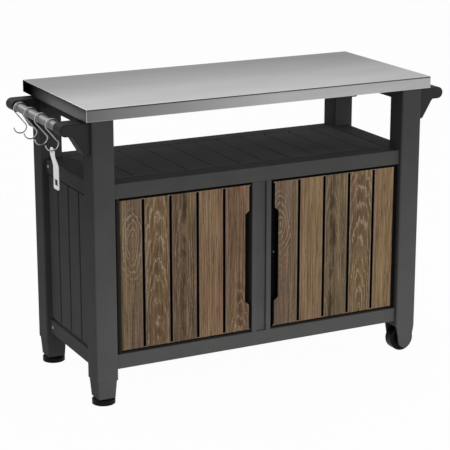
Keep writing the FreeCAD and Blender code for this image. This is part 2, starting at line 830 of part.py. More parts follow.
def make_hinge_pins():
    """Returns the right door's two pivot pins, each with a collar that fills the gap to the rail."""
    lower = drum(pin_radius, pin_reach + door_bottom_gap + pin_seat - pin_end_gap,
                 V(pivot_x, -pivot_y, lower_rail_top - pin_reach + pin_end_gap))
    collar = drum(pin_collar_radius, door_bottom_gap - pin_collar_gap,
                  V(pivot_x, -pivot_y, lower_rail_top + pin_collar_gap))
    upper = drum(pin_radius, pin_seat + door_top_gap + pin_reach - pin_end_gap,
                 V(pivot_x, -pivot_y, door_top - pin_seat))
    washer = drum(pin_collar_radius, door_top_gap - pin_collar_gap, V(pivot_x, -pivot_y, door_top))
    return Part.makeCompound([lower.fuse(collar), upper.fuse(washer)])


def make_strike():
    """Returns the steel strike plate on the back of the right door."""
    return block(catch_x - catch_width / 2, catch_x + catch_width / 2, -door_back - strike_wall, -door_back,
                 catch_z - catch_height / 2, catch_z + catch_height / 2)


def make_pull_screw():
    """Returns the screw in the right door's finger pull, which holds the strike plate."""
    floor = -liner_face_y + pull_pocket
    place = V(pull_screw_x, floor, catch_z)
    head = Part.makeCone(pull_screw_head_radius, pull_screw_crown_radius, pull_screw_head_height,
                         place, V(0, -1, 0))
    shank = drum(pull_screw_shank_radius, -door_back - strike_wall - floor, place, V(0, 1, 0))
    return head.fuse(shank)


# Handles

def bracket_outline():
    """Returns the side outline of a right handle bracket, from the leg out to its rounded tip."""
    y = bracket_inner
    low = V(bar_x, y, arm_bottom)
    tip = V(bracket_tip, y, arm_bottom + arm_height / 2)
    high = V(bar_x, y, arm_top)
    path = [high, V(leg_outer_x, y, arm_top), V(leg_outer_x, y, bracket_bottom),
            V(bracket_foot_x, y, bracket_bottom), V(bracket_knee_x, y, arm_bottom), low]
    edges = [Part.LineSegment(a, b).toShape() for a, b in zip(path, path[1:])]
    edges.append(Part.Arc(low, tip, high).toShape())
    return Part.Face(Part.Wire(edges))


def bracket_room():
    """Returns the room inside a right back bracket, open towards the leg."""
    slope = (bracket_knee_x - bracket_foot_x) / (arm_bottom - bracket_bottom)
    y = bracket_inner + bracket_wall
    floor = bracket_bottom + bracket_wall
    bend = arm_bottom + bracket_wall
    top = arm_top - bracket_wall
    slant = bracket_wall * math.hypot(1, slope)
    floor_x = bracket_foot_x + (floor - bracket_bottom) * slope - slant
    bend_x = bracket_foot_x + (bend - bracket_bottom) * slope - slant
    open_x = leg_outer_x - 1
    return prism([V(open_x, y, floor), V(floor_x, y, floor), V(bend_x, y, bend), V(bend_x, y, top),
                  V(open_x, y, top)], V(0, bracket_outer - bracket_inner - 2 * bracket_wall, 0))


def make_bracket():
    """Returns the right back handle bracket, hollow behind the leg, with the socket for its bar."""
    bracket = bracket_outline().extrude(V(0, bracket_outer - bracket_inner, 0))
    corners = edges_along(bracket, V(0, 1, 0), lambda c: leg_outer_x + 1 < c.x < bar_x - 1)
    bracket = bracket.makeFillet(bracket_bend, corners)
    for face_y, bevel in ((bracket_outer, bracket_bevel), (bracket_inner, bracket_back_bevel)):
        rim = [e for e in bracket.Edges if abs(e.CenterOfMass.y - face_y) < 1e-6
               and e.CenterOfMass.x > leg_outer_x + 1]
        bracket = bracket.makeChamfer(bevel, rim)
    socket = drum(bar_radius + bar_fit, bar_seat, V(bar_x, bracket_inner, bar_z), V(0, 1, 0))
    return bracket.cut(bracket_room()).cut(socket)


def make_bar():
    """Returns the right handle bar, a steel tube whose ends sit in the brackets."""
    start = V(bar_x, -bracket_inner - bar_seat, bar_z)
    length = 2 * (bracket_inner + bar_seat)
    tube = drum(bar_radius, length, start, V(0, 1, 0))
    return tube.cut(drum(bar_radius - bar_wall, length, start, V(0, 1, 0)))


# Hooks and opener

def hook_half(sign, centre):
    """Returns the points of half a hook, from its middle out to its mouth, and each arc's middle."""
    lean = math.radians(hook_lean_deg)
    along = V(-math.sin(lean), 0, math.cos(lean))
    loop = V(hook_loop_shift, 0, hook_loop_rise)
    foot = along * loop.dot(along)
    normal = loop - foot
    height = normal.Length
    normal = normal / height
    reach = math.sqrt((hook_loop_radius - hook_bend_radius) ** 2 - (height - hook_bend_radius) ** 2)
    bend = foot + along * reach + normal * hook_bend_radius
    join = loop + (bend - loop).normalize() * hook_loop_radius
    leave = foot + along * reach
    to_leave = (leave - bend).normalize()
    to_join = (join - bend).normalize()
    bend_mid = bend + (to_leave + to_join).normalize() * hook_bend_radius
    mouth_angle = math.radians(hook_mouth_deg)
    join_angle = math.atan2(join.z - loop.z, join.x - loop.x) % (2 * math.pi)
    mid_angle = (mouth_angle + join_angle) / 2
    mid = loop + V(math.cos(mid_angle), 0, math.sin(mid_angle)) * hook_loop_radius
    mouth = loop + V(math.cos(mouth_angle), 0, math.sin(mouth_angle)) * hook_loop_radius
    return [centre + point * sign for point in (leave, bend_mid, join, mid, mouth)]


def bent_wire(edges):
    """Returns a wire bent along arcs and straight runs in the XZ plane, turned in even small steps."""
    stations = []
    for edge in edges:
        start = edge.FirstParameter
        span = edge.LastParameter - start
        steps = 1 if isinstance(edge.Curve, Part.Line) else math.ceil(math.degrees(span) / wire_turn_deg)
        for step in range(1 if stations else 0, steps + 1):
            place = start + span * step / steps
            stations.append((edge.valueAt(place), edge.tangentAt(place)))
    sections = []
    for point, heading in stations:
        across = heading.cross(V(0, 1, 0))
        corners = [2 * math.pi * (side + 0.5) / wire_sides for side in range(wire_sides)]
        sections.append(polygon([point + (across * math.cos(a) + V(0, math.sin(a), 0)) * wire_radius
                                 for a in corners]))
    return Part.makeLoft(sections, True, True)


def hook_top():
    """Returns the height of the middle of the wire at the top of a hook."""
    return bar_z + bar_radius + hook_rest_gap + wire_radius


def make_hook(y):
    """Returns one bent-wire hook that hangs on the left bar at a place along it."""
    centre = V(-bar_x - hook_loop_shift, y, hook_top() - hook_loop_radius - hook_loop_rise)
    leave, bend_mid, join, mid, mouth = hook_half(1, centre)
    low_leave, low_bend_mid, low_join, low_mid, low_mouth = hook_half(-1, centre)
    edges = [Part.Arc(mouth, mid, join), Part.Arc(join, bend_mid, leave),
             Part.LineSegment(leave, low_leave), Part.Arc(low_leave, low_bend_mid, low_join),
             Part.Arc(low_join, low_mid, low_mouth)]
    edges = [edge.toShape() for edge in edges]
    return bent_wire(edges)


def make_opener():
    """Returns the flat bottle opener that hangs on the front hook by its eye."""
    wire_z = hook_top() - 2 * hook_loop_rise - 2 * hook_loop_radius
    eye_top = wire_z + wire_radius + opener_rest_gap
    top = eye_top + opener_eye_drop
    foot = top - opener_length
    x = -bar_x - 2 * hook_loop_shift
    y = hook_first_y
    bend_top = top - opener_joggle_start
    bend_foot = bend_top - opener_joggle_length
    thin = opener_wall / 2
    side = [(x - thin, top), (x - thin, bend_top), (x - thin + opener_joggle, bend_foot),
            (x - thin + opener_joggle, foot), (x + thin + opener_joggle, foot),
            (x + thin + opener_joggle, bend_foot), (x + thin, bend_top), (x + thin, top)]
    strip = prism([V(u, y - opener_foot_width, z) for u, z in side], V(0, 2 * opener_foot_width, 0))
    bends = edges_along(strip, V(0, 1, 0), lambda c: foot + 1 < c.z < top - 1)
    strip = strip.makeFillet(opener_joggle, bends)
    x0 = x - opener_joggle
    width = V(3 * opener_joggle, 0, 0)
    half_top = opener_top_width / 2
    half_foot = opener_foot_width / 2
    face = prism([V(x0, y - half_top, top), V(x0, y + half_top, top), V(x0, y + half_top, bend_top),
                  V(x0, y + half_foot, bend_foot), V(x0, y + half_foot, foot), V(x0, y - half_foot, foot),
                  V(x0, y - half_foot, bend_foot), V(x0, y - half_top, bend_top)], width)
    face = face.makeFillet(opener_top_rounding, edges_along(face, V(1, 0, 0), lambda c: c.z > top - 1))
    face = face.makeFillet(opener_foot_rounding, edges_along(face, V(1, 0, 0), lambda c: c.z < foot + 1))
    eye = block(x0, x0 + width.x, y - opener_eye_width / 2, y + opener_eye_width / 2,
                eye_top - opener_eye_height, eye_top)
    eye = eye.makeFillet(opener_eye_height / 3, edges_along(eye, V(1, 0, 0)))
    window_foot = foot + opener_window_rise
    window = block(x0, x0 + width.x, y - opener_window_width / 2, y + opener_window_width / 2,
                   window_foot, window_foot + opener_window_height)
    window = window.makeFillet(opener_foot_rounding / 2, edges_along(window, V(1, 0, 0)))
    return strip.common(face).cut(eye).cut(window)


def write(shape, name):
    """Writes one node as a STEP file."""
    if not shape.isValid():
        print("not valid:", name)
    shape.exportStep("parts/%s.step" % name)


def main():
    """Builds every piece and writes it."""
    os.makedirs("parts", exist_ok=True)
    write(make_tabletop_sheet(), "tabletop_sheet")
    write(make_tabletop_core(), "tabletop_core")
    foot_leg = make_foot_leg()
    foot = make_foot()
    wheel_leg = make_wheel_leg()
    wheel = make_wheel()
    axle = make_axle()
    bracket = make_bracket()
    for end_name, end in ENDS.items():
        write(place_corner(foot_leg, -1, end), "%s_left_leg" % end_name)
        write(place_corner(foot, -1, end), "%s_levelling_foot" % end_name)
        write(place_corner(wheel_leg, 1, end), "%s_right_leg" % end_name)
        write(place_corner(wheel, 1, end), "%s_wheel" % end_name)
        write(place_corner(axle, 1, end), "%s_axle" % end_name)
        for side_name, side in SIDES.items():
            write(place_corner(bracket, side, end), "%s_%s_bracket" % (end_name, side_name))
    write(make_front_upper_rail(), "front_upper_rail")
    write(make_front_lower_rail(), "front_lower_rail")
    write(long_rail(back_rail_width, rail_face_y, upper_rail_bottom, -1), "back_upper_rail")
    write(long_rail(back_rail_width, rail_face_y, lower_rail_bottom, -1), "back_lower_rail")
    write(make_deck(upper_rail_top), "shelf_deck")
    write(make_deck(lower_rail_top), "floor_deck")
    write(make_back_panel(), "back_panel")
    write(make_post(), "centre_post")
    write(make_door_stop(), "door_stop")
    mirrored = {
        "upper_side_rail": make_side_rail(upper_rail_bottom),
        "lower_side_rail": make_side_rail(lower_rail_bottom),
        "side_rail_screws": make_rail_screws(),
        "side_beam": make_side_beam(),
        "side_panel": make_side_panel(),
        "door_catch": make_catch(),
        "door_panel": make_door_panel(),
        "door_front": make_door_front(),
        "hinge_pins": make_hinge_pins(),
        "strike_plate": make_strike(),
        "pull_screw": make_pull_screw(),
        "handle_bar": make_bar(),
    }
    for name, shape in mirrored.items():
        write(shape, "right_%s" % name)
        write(mirror_x(shape), "left_%s" % name)
    for index in range(hook_count):
        write(make_hook(hook_first_y + index * hook_pitch), "hook_%d" % (index + 1))
    write(make_opener(), "bottle_opener")


main()
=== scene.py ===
"""Looks of the grill cart: steel top, slotted wood-look doors, graphite frame, bars, hooks and wheels.

Metres, in the frame of the CAD nodes: +X to the wheeled end, the doors face -Y, +Z is up.
"""
from __future__ import annotations

import json
import logging
import math
from collections.abc import Callable
from dataclasses import dataclass
from enum import Enum

import bmesh
import bpy
from mathutils import Matrix, Vector

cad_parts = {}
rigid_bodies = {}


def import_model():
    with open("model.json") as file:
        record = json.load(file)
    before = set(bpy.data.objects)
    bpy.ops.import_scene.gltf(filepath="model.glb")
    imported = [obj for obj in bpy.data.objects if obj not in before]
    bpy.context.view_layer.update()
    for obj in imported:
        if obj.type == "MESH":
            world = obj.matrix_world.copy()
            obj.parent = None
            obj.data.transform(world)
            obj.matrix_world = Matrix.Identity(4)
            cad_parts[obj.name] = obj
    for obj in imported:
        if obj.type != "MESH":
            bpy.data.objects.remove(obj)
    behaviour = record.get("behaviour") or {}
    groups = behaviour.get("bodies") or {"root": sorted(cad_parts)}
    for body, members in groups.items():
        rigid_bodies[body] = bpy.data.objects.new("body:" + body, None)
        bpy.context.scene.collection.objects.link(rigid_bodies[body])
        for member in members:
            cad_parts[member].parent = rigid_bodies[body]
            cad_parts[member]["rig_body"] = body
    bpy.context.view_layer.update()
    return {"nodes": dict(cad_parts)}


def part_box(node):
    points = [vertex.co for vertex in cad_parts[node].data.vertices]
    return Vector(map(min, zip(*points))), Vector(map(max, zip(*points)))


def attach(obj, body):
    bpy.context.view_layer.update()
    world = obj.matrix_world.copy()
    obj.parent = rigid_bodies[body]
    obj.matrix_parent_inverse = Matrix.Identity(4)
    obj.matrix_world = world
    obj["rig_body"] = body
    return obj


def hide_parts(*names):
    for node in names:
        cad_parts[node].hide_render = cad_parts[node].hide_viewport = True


LOG = logging.getLogger("grill_cart")
Colour = tuple[float, float, float]
Ring = list[bmesh.types.BMEdge]
AXIS_X = Vector((1, 0, 0))
AXIS_Y = Vector((0, 1, 0))
AXIS_Z = Vector((0, 0, 1))
WHITE: Colour = (1.0, 1.0, 1.0)
MIDDLE = 0.5  # what noise varies about
SWING = 4.0  # brings noise, which stays within about a quarter of its middle, to -1 to 1
SAME = 1e-5  # nearer than this, two points are one
FLAT = math.radians(0.6)  # faces that turn by less than this are one
SHARP = math.radians(35)  # edges that turn by more than this are rounded


class Finish(Enum):
    """The finishes, each with the name of its material slot in the record and what sets it apart."""

    TOP_STEEL = ("top_steel", "sheet")
    GRAPHITE = ("frame_plastic", "frame")
    # a lighter copy of the frame plastic for the decks: painted light
    LIT_DECK_GRAPHITE = ("frame_plastic", "decks")
    # a darker copy of the frame plastic for the brackets: painted shade
    SHADED_BRACKET = ("frame_plastic", "brackets")
    WOOD_LOOK = ("wood_look_plastic", "planks")
    BLACK = ("black_plastic", "running gear")
    LINER = ("black_plastic", "behind the planks")
    BAR_STEEL = ("bar_steel", "bars")
    WIRE_STEEL = ("wire_steel", "hooks")
    OPENER_STEEL = ("opener_steel", "opener")
    FIXING_STEEL = ("fixing_steel", "pins and plates")
    SCREW_STEEL = ("fixing_steel", "screws")

    @property
    def slot(self) -> str:
        """Returns the name of the material slot."""
        return self.value[0]


# Shader maths

class Shade:
    """A shader socket with a value on it; sums, products and comparisons add Math nodes."""

    def __init__(self, tree: Tree, socket: bpy.types.NodeSocket) -> None:
        """Wraps an output socket of a tree's node."""
        self.tree = tree
        self.socket = socket

    def __add__(self, other: Shade | float) -> Shade:
        """Returns self + other."""
        return self.tree.maths("ADD", self, other)

    def __radd__(self, other: float) -> Shade:
        """Returns other + self."""
        return self.tree.maths("ADD", other, self)

    def __sub__(self, other: Shade | float) -> Shade:
        """Returns self - other."""
        return self.tree.maths("SUBTRACT", self, other)

    def __rsub__(self, other: float) -> Shade:
        """Returns other - self."""
        return self.tree.maths("SUBTRACT", other, self)

    def __mul__(self, other: Shade | float) -> Shade:
        """Returns self * other."""
        return self.tree.maths("MULTIPLY", self, other)

    def __rmul__(self, other: float) -> Shade:
        """Returns other * self."""
        return self.tree.maths("MULTIPLY", other, self)

    def __gt__(self, other: Shade | float) -> Shade:
        """Returns 1 where self is greater than other, elsewhere 0."""
        return self.tree.maths("GREATER_THAN", self, other)

    def __lt__(self, other: Shade | float) -> Shade:
        """Returns 1 where self is less than other, elsewhere 0."""
        return self.tree.maths("LESS_THAN", self, other)

    def __abs__(self) -> Shade:
        """Returns the size of self without its sign."""
        return self.tree.maths("ABSOLUTE", self, 0.0)

    def sine(self) -> Shade:
        """Returns the sine of self in radians."""
        return self.tree.maths("SINE", self, 0.0)

    def there_and_back(self, span: float) -> Shade:
        """Returns self folded so that it climbs to a span and falls again, over and over."""
        return self.tree.maths("PINGPONG", self, span)

    def root(self) -> Shade:
        """Returns the square root of self."""
        return self.tree.maths("SQRT", self, 0.0)

    def along(self, low: float, high: float) -> Shade:
        """Returns self moved evenly from 0 at low to 1 at high, and held there."""
        return self.tree.add("ShaderNodeMapRange", {"interpolation_type": "LINEAR"},
                             {"Value": self, "From Min": low, "From Max": high})

    def between(self, low: float, high: float) -> Shade:
        """Returns self moved smoothly from 0 at low to 1 at high, and held there."""
        return self.tree.add("ShaderNodeMapRange", {"interpolation_type": "SMOOTHSTEP"},
                             {"Value": self, "From Min": low, "From Max": high})


Value = Shade | float
Tint = Shade | Colour


@dataclass(frozen=True)
class Pattern:
    """Noise: its cells per metre along X, Y and Z, its octaves, and the finer ones' strength."""

    scale: tuple[float, float, float]
    detail: float
    roughness: float = 0.5


@dataclass(frozen=True)
class Band:
    """Where a pattern starts to show, where it shows in full, and by what share."""

    start: float
    full: float
    share: float = 1.0

    def over(self, pattern: Shade) -> Shade:
        """Returns how much shows where the pattern is high."""
        return pattern.between(self.start, self.full) * self.share

    def under(self, pattern: Shade) -> Shade:
        """Returns how much shows where the pattern is low."""
        return (1.0 - pattern.between(self.start, self.full)) * self.share


class Tree:
    """The node tree of a material or a world."""

    def __init__(self, owner: bpy.types.Material | bpy.types.World) -> None:
        """Empties the owner's node tree.

        Args:
            owner: The material or world.
        """
        owner.use_nodes = True
        self.nodes = owner.node_tree.nodes
        self.links = owner.node_tree.links
        self.nodes.clear()

    def put(self, socket: bpy.types.NodeSocket, value: Value | Tint) -> None:
        """Links or sets one input socket.

        Args:
            socket: The input.
            value: A shade to link, a number, or a colour as three numbers.
        """
        if isinstance(value, Shade):
            self.links.new(value.socket, socket)
        elif isinstance(value, tuple) and socket.type == "RGBA":
            socket.default_value = (*value, 1.0)
        else:
            socket.default_value = value

    def add(self, kind: str, settings: dict | None = None, inputs: dict | None = None,
            out: str | int = 0) -> Shade:
        """Adds a node.

        Args:
            kind: The node's type.
            settings: Attributes to set first.
            inputs: Values or links by socket name or number.
            out: The output to return.

        Returns:
            The wanted output.
        """
        node = self.nodes.new(kind)
        for key, value in (settings or {}).items():
            setattr(node, key, value)
        for key, value in (inputs or {}).items():
            self.put(node.inputs[key], value)
        return Shade(self, node.outputs[out])

    def maths(self, operation: str, first: Value, second: Value) -> Shade:
        """Returns the output of a Math node with two operands."""
        return self.add("ShaderNodeMath", {"operation": operation}, {0: first, 1: second})

    def ray(self, kind: str) -> Shade:
        """Returns 1 where the ray is of a kind, such as Camera or Glossy, elsewhere 0."""
        return self.add("ShaderNodeLightPath", out=f"Is {kind} Ray")

    def show(self, surface: Shade, output: str = "ShaderNodeOutputMaterial") -> None:
        """Links a shader to a new output node of a type."""
        self.links.new(surface.socket, self.nodes.new(output).inputs["Surface"])


class Paint(Tree):
    """A material with a principled shader, read on the piece's own Object coordinates."""

    def __init__(self, name: str) -> None:
        """Starts the material.

        Args:
            name: The material's name.
        """
        self.material = bpy.data.materials.new(name)
        super().__init__(self.material)
        self.surface = self.nodes.new("ShaderNodeBsdfPrincipled")
        self.place = self.add("ShaderNodeTexCoord", out="Object")

    def axis(self, name: str) -> Shade:
        """Returns one Object coordinate, named X, Y or Z."""
        return self.add("ShaderNodeSeparateXYZ", inputs={0: self.place}, out=name)

    def noise(self, pattern: Pattern, shift: Value = 0.0) -> Shade:
        """Spreads noise over the piece.

        Args:
            pattern: The noise.
            shift: How far into the pattern it starts, along X and Z.

        Returns:
            The noise, which varies about one half.
        """
        start = self.add("ShaderNodeCombineXYZ", inputs={0: shift, 2: shift})
        where = self.add("ShaderNodeMapping", inputs={
            "Vector": self.place, "Location": start, "Scale": pattern.scale})
        return self.add("ShaderNodeTexNoise", inputs={
            "Vector": where, "Scale": 1.0, "Detail": pattern.detail, "Roughness": pattern.roughness})

    def mix(self, first: Tint, second: Tint, share: Value) -> Shade:
        """Returns two colours mixed by a share of the second."""
        return self.add("ShaderNodeMix", {"data_type": "RGBA"}, {6: first, 7: second, 0: share}, out=2)

    def bump(self, height: Shade, depth: float) -> Shade:
        """Returns a normal bumped by a height.

        Args:
            height: The height, about 0 to 1.
            depth: What a height of 1 stands for, in metres.

        Returns:
            The normal.
        """
        return self.add("ShaderNodeBump", inputs={"Strength": 1.0, "Distance": depth, "Height": height})

    def varied(self, tone: Tint, factor: Shade) -> Shade:
        """Returns a colour made lighter or darker by a factor near 1."""
        return self.add("ShaderNodeHueSaturation", inputs={"Value": factor, "Color": tone})

    def coat(self, **sockets: Value | Tint) -> Shade:
        """Sets the principled shader's sockets.

        Args:
            sockets: Values or links by socket name, with underscores for spaces.

        Returns:
            The shader.
        """
        for name, value in sockets.items():
            self.put(self.surface.inputs[name.replace("_", " ")], value)
        return Shade(self, self.surface.outputs["BSDF"])

    def finish(self, **sockets: Value | Tint) -> bpy.types.Material:
        """Sets the principled shader's sockets and shows it.

        Args:
            sockets: Values or links by socket name, with underscores for spaces.

        Returns:
            The finished material.
        """
        self.show(self.coat(**sockets))
        return self.material


def lighter(colour: Colour, share: float) -> Colour:
    """Returns a colour made lighter by a share of itself, or darker where the share is negative."""
    return tuple(part * (1 + share) for part in colour)


# Finishes

@dataclass(frozen=True)
class MouldedPlastic:
    """Moulded plastic with a fine matte skin and a slightly cloudy tone."""

    name: str
    colour: Colour
    roughness: float
    gloss: float
    # painted shade towards the top and painted light towards the floor
    painted_top_shade: float = -0.28
    painted_floor_light: float = 0.30
    height: float = 0.86
    pits: Pattern = Pattern((1100.0, 1100.0, 1100.0), 2.0, 0.6)
    pit_depth: float = 0.00012
    clouds: Pattern = Pattern((9.0, 9.0, 9.0), 4.0)
    cloud_share: float = 0.08
    scuffs: Pattern = Pattern((18.0, 18.0, 70.0), 5.0, 0.65)
    scuff_band: Band = Band(0.66, 0.8, 0.3)
    scuff_share: float = 0.5
    scuff_roughness: float = 0.18

    def build(self) -> bpy.types.Material:
        """Mixes the plastic, lighter towards the floor and darker towards the top as painted light and
        shade.

        Returns:
            The material.
        """
        tree = Paint(self.name)
        clouds, scuffs = tree.noise(self.clouds), tree.noise(self.scuffs)
        # painted light and shade: lighter towards the floor, darker towards the top
        tone = tree.mix(lighter(self.colour, self.painted_floor_light), lighter(self.colour, self.painted_top_shade),
                        tree.axis("Z").between(0.0, self.height))
        tone = tree.varied(tone, (clouds - MIDDLE) * (SWING * self.cloud_share) + 1.0)
        tone = tree.mix(tone, lighter(self.colour, self.scuff_share), self.scuff_band.over(scuffs))
        tone = self.with_painted_light(tree, tone)
        rough = self.roughness + (scuffs - MIDDLE) * self.scuff_roughness
        return tree.finish(Base_Color=tone, Roughness=rough, Specular_IOR_Level=self.gloss,
                           Normal=tree.bump(tree.noise(self.pits), self.pit_depth))

    def with_painted_light(self, tree: Paint, tone: Shade) -> Shade:
        """Returns the tone as it is, because a plain moulding has no painted light."""
        return tone


@dataclass(frozen=True)
class DeckPlastic(MouldedPlastic):
    """The moulded deck, lighter in the grooves between its boards: painted light that softens their
    shade.
    """

    deck_top: float = 0.0
    groove_light_depth: float = 0.0006
    groove_light_share: float = 0.5

    def with_painted_light(self, tree: Paint, tone: Shade) -> Shade:
        """Returns the tone with painted light below the boards' faces."""
        # painted light in the grooves, softening their shade
        below = tree.axis("Z") < self.deck_top - self.groove_light_depth
        return tree.mix(tone, lighter(self.colour, self.groove_light_share), below)


@dataclass(frozen=True)
class LinerPlastic(MouldedPlastic):
    """The doors' black backing, whose rim beside the left hinges catches a little light."""

    rim_start: float = 0.0
    rim_end: float = 0.0
    rim: Colour = (0.024, 0.0225, 0.021)

    def with_painted_light(self, tree: Paint, tone: Shade) -> Shade:
        """Returns the tone, lighter along the rim towards the planks."""
        x = tree.axis("X")
        # painted light along the rim beside the left hinges
        return tree.mix(tone, self.rim, x.along(self.rim_start, self.rim_end) * (x < self.rim_end))


@dataclass(frozen=True)
class SheetSteel:
    """The folded table top: brushed, with painted reflections brighter to the front and darker on skirts
    and ends.
    """

    name: str
    low: Vector
    high: Vector
    # painted reflection: the top's front and back tones and the skirts' tones
    front: Colour = (0.62, 0.62, 0.62)
    back: Colour = (0.31, 0.31, 0.31)
    painted_skirt_shade: Colour = (0.272, 0.272, 0.272)
    skirt_change: float = 0.455
    skirt_full: float = 0.05
    # painted shade and reflection on the ends
    end_light: Colour = (0.27, 0.27, 0.27)
    end_shade: Colour = (0.05, 0.05, 0.05)
    end_dark: Colour = (0.002, 0.002, 0.002)
    end_fade: tuple[float, float] = (-0.03, 0.20)
    end_matte_share: float = 0.6
    # painted highlight along the edges and painted dark reflection under the fold
    edge_highlight: Colour = (0.92, 0.92, 0.92)
    painted_fold_shade: Colour = (0.04, 0.04, 0.04)
    glancing: Colour = (0.7, 0.7, 0.7)
    fold_height: float = 0.0040
    highlight_width: float = 0.0016
    fold_share: float = 0.85
    upright_share: float = 0.35
    hem_share: float = 0.16
    roughness: float = 0.38
    lines: Pattern = Pattern((4.0, 620.0, 620.0), 4.0, 0.65)
    line_depth: float = 0.00001
    line_share: float = 0.05
    line_roughness: float = 0.12
    smears: Pattern = Pattern((1.6, 5.0, 9.0), 4.0, 0.55)
    smear_share: float = 0.12
    smear_roughness: float = 0.1
    far_share: float = 0.12

    def build(self) -> bpy.types.Material:
        """Brushes the sheet and paints its reflections: darker skirts and ends, fold lines and edge
        highlights.

        Returns:
            The material.
        """
        tree = Paint(self.name)
        x, y, z = tree.axis("X"), tree.axis("Y"), tree.axis("Z")
        lines, smears = tree.noise(self.lines), tree.noise(self.smears) - MIDDLE
        brushed = lines - MIDDLE
        edge = self.high.z - self.highlight_width / 2
        backwards = y.between(self.low.y, self.high.y)
        upwards = (z - self.low.z) * (1 / (self.high.z - self.low.z))
        # painted reflection: the skirts darker than the top, darkest at the left end
        near, far = (lighter(self.painted_skirt_shade, sign * self.skirt_change) for sign in (-1, 1))
        painted_skirt_shade = tree.mix(near, far, x.along(self.low.x, self.skirt_full))
        # painted shade and reflection on the ends, dark towards the back and the top; dull is where they
        # lose metal so it shows
        fade = 1.0 - y.between(*self.end_fade)
        end = tree.mix(self.end_dark, tree.mix(self.end_light, self.end_shade, upwards), fade)
        dull = 1.0 - fade * (1.0 - upwards * self.end_matte_share)
        half = (self.high.x - self.low.x) / 2
        beyond = abs(x - (self.low.x + half)) > half - self.highlight_width
        # painted reflection: the top lighter to the front, darker to the back
        tone = tree.mix(self.front, self.back, backwards)
        tone = tree.mix(tone, tree.mix(painted_skirt_shade, end, beyond), z < edge)
        # painted dark reflection in a line under the folded edge
        tone = tree.mix(tone, self.painted_fold_shade, (z > edge - self.fold_height) * (z < edge) * self.fold_share)
        # painted highlights along the front fold, the front corners and the hem
        at_front = y < self.low.y + self.highlight_width
        tone = tree.mix(tone, self.edge_highlight, at_front * (z > edge))
        tone = tree.mix(tone, self.edge_highlight, at_front * beyond * self.upright_share)
        tone = tree.mix(tone, self.edge_highlight, at_front * (z < self.low.z + self.highlight_width) * self.hem_share)
        change = brushed * (SWING * self.line_share) + smears * (SWING * self.smear_share)
        # painted reflection: the top darker towards the right
        change = change - x.between(0.0, self.high.x) * (z > edge) * self.far_share
        # painted shade on the ends: less metal there, so the painted shade shows
        painted_shade_matte = beyond * (z < edge) * (1.0 - at_front) * dull
        tone = tree.varied(tone, change + 1.0)
        rough = self.roughness + brushed * self.line_roughness + smears * self.smear_roughness
        return tree.finish(Base_Color=tone, Metallic=1.0 - painted_shade_matte, Roughness=rough,
                           Specular_Tint=self.glancing, Specular_IOR_Level=0.0,
                           Normal=tree.bump(lines, self.line_depth))


@dataclass(frozen=True)
class BrushedSteel:
    """Steel tube with fine brush lines along one axis and faint smears, with painted shade underneath.
    """

    name: str
    colour: Colour
    low: Vector
    high: Vector
    roughness: float
    lines: Pattern = Pattern((500.0, 5.0, 500.0), 3.0, 0.6)
    painted_under_shade: float = 0.62
    line_depth: float = 0.00001
    line_share: float = 0.06
    line_roughness: float = 0.1
    smears: Pattern = Pattern((3.0, 5.0, 5.0), 4.0, 0.55)
    smear_roughness: float = 0.08

    def build(self) -> bpy.types.Material:
        """Brushes the tube and paints shade on its underside.

        Returns:
            The material.
        """
        tree = Paint(self.name)
        lines, smears = tree.noise(self.lines), tree.noise(self.smears) - MIDDLE
        dull, bright = (lighter(self.colour, sign * self.line_share) for sign in (-1, 1))
        # painted shade: the tube darker towards its underside
        upwards = tree.axis("Z").between(self.low.z, self.high.z) * self.painted_under_shade
        tone = tree.varied(tree.mix(dull, bright, lines), upwards + (1.0 - self.painted_under_shade))
        rough = self.roughness + (lines - MIDDLE) * self.line_roughness + smears * self.smear_roughness
        return tree.finish(Base_Color=tone, Metallic=1.0, Roughness=rough,
                           Normal=tree.bump(lines, self.line_depth))


@dataclass(frozen=True)
class BrightSteel:
    """Polished wire or sheet steel with faint wear."""

    name: str
    colour: Colour
    roughness: float
    wear: Pattern = Pattern((160.0, 160.0, 160.0), 4.0, 0.6)
    wear_band: Band = Band(0.35, 0.6)
    wear_share: float = -0.12
    wear_roughness: float = 0.12

    def build(self) -> bpy.types.Material:
        """Mixes the steel's tone and its wear.

        Returns:
            The material.
        """
        tree = Paint(self.name)
        wear = tree.noise(self.wear)
        tone = tree.mix(lighter(self.colour, self.wear_share), self.colour, self.wear_band.over(wear))
        rough = self.roughness + (wear - MIDDLE) * self.wear_roughness
        return tree.finish(Base_Color=tone, Metallic=1.0, Roughness=rough)


class Stain(Enum):
    """The tones of the planks."""

    TAUPE = (0.129, 0.088, 0.061)
    WALNUT = (0.126, 0.077, 0.044)
    SMOKED = (0.098, 0.063, 0.040)
    TAN = (0.180, 0.113, 0.065)
    CHESTNUT = (0.124, 0.074, 0.046)
    OLIVE = (0.104, 0.074, 0.045)


@dataclass(frozen=True)
class Plank:
    """One printed plank: its stain, the heart that its growth rings run round, and how they show.

    The squash is how far apart the rings lie across the plank, as a share of how far along it, and
    the reach is the radius, across the plank, past which they fade.
    """

    stain: Stain
    heart_x: float
    heart_z: float
    squash: float
    reach: float
    rings: float
    dark: float


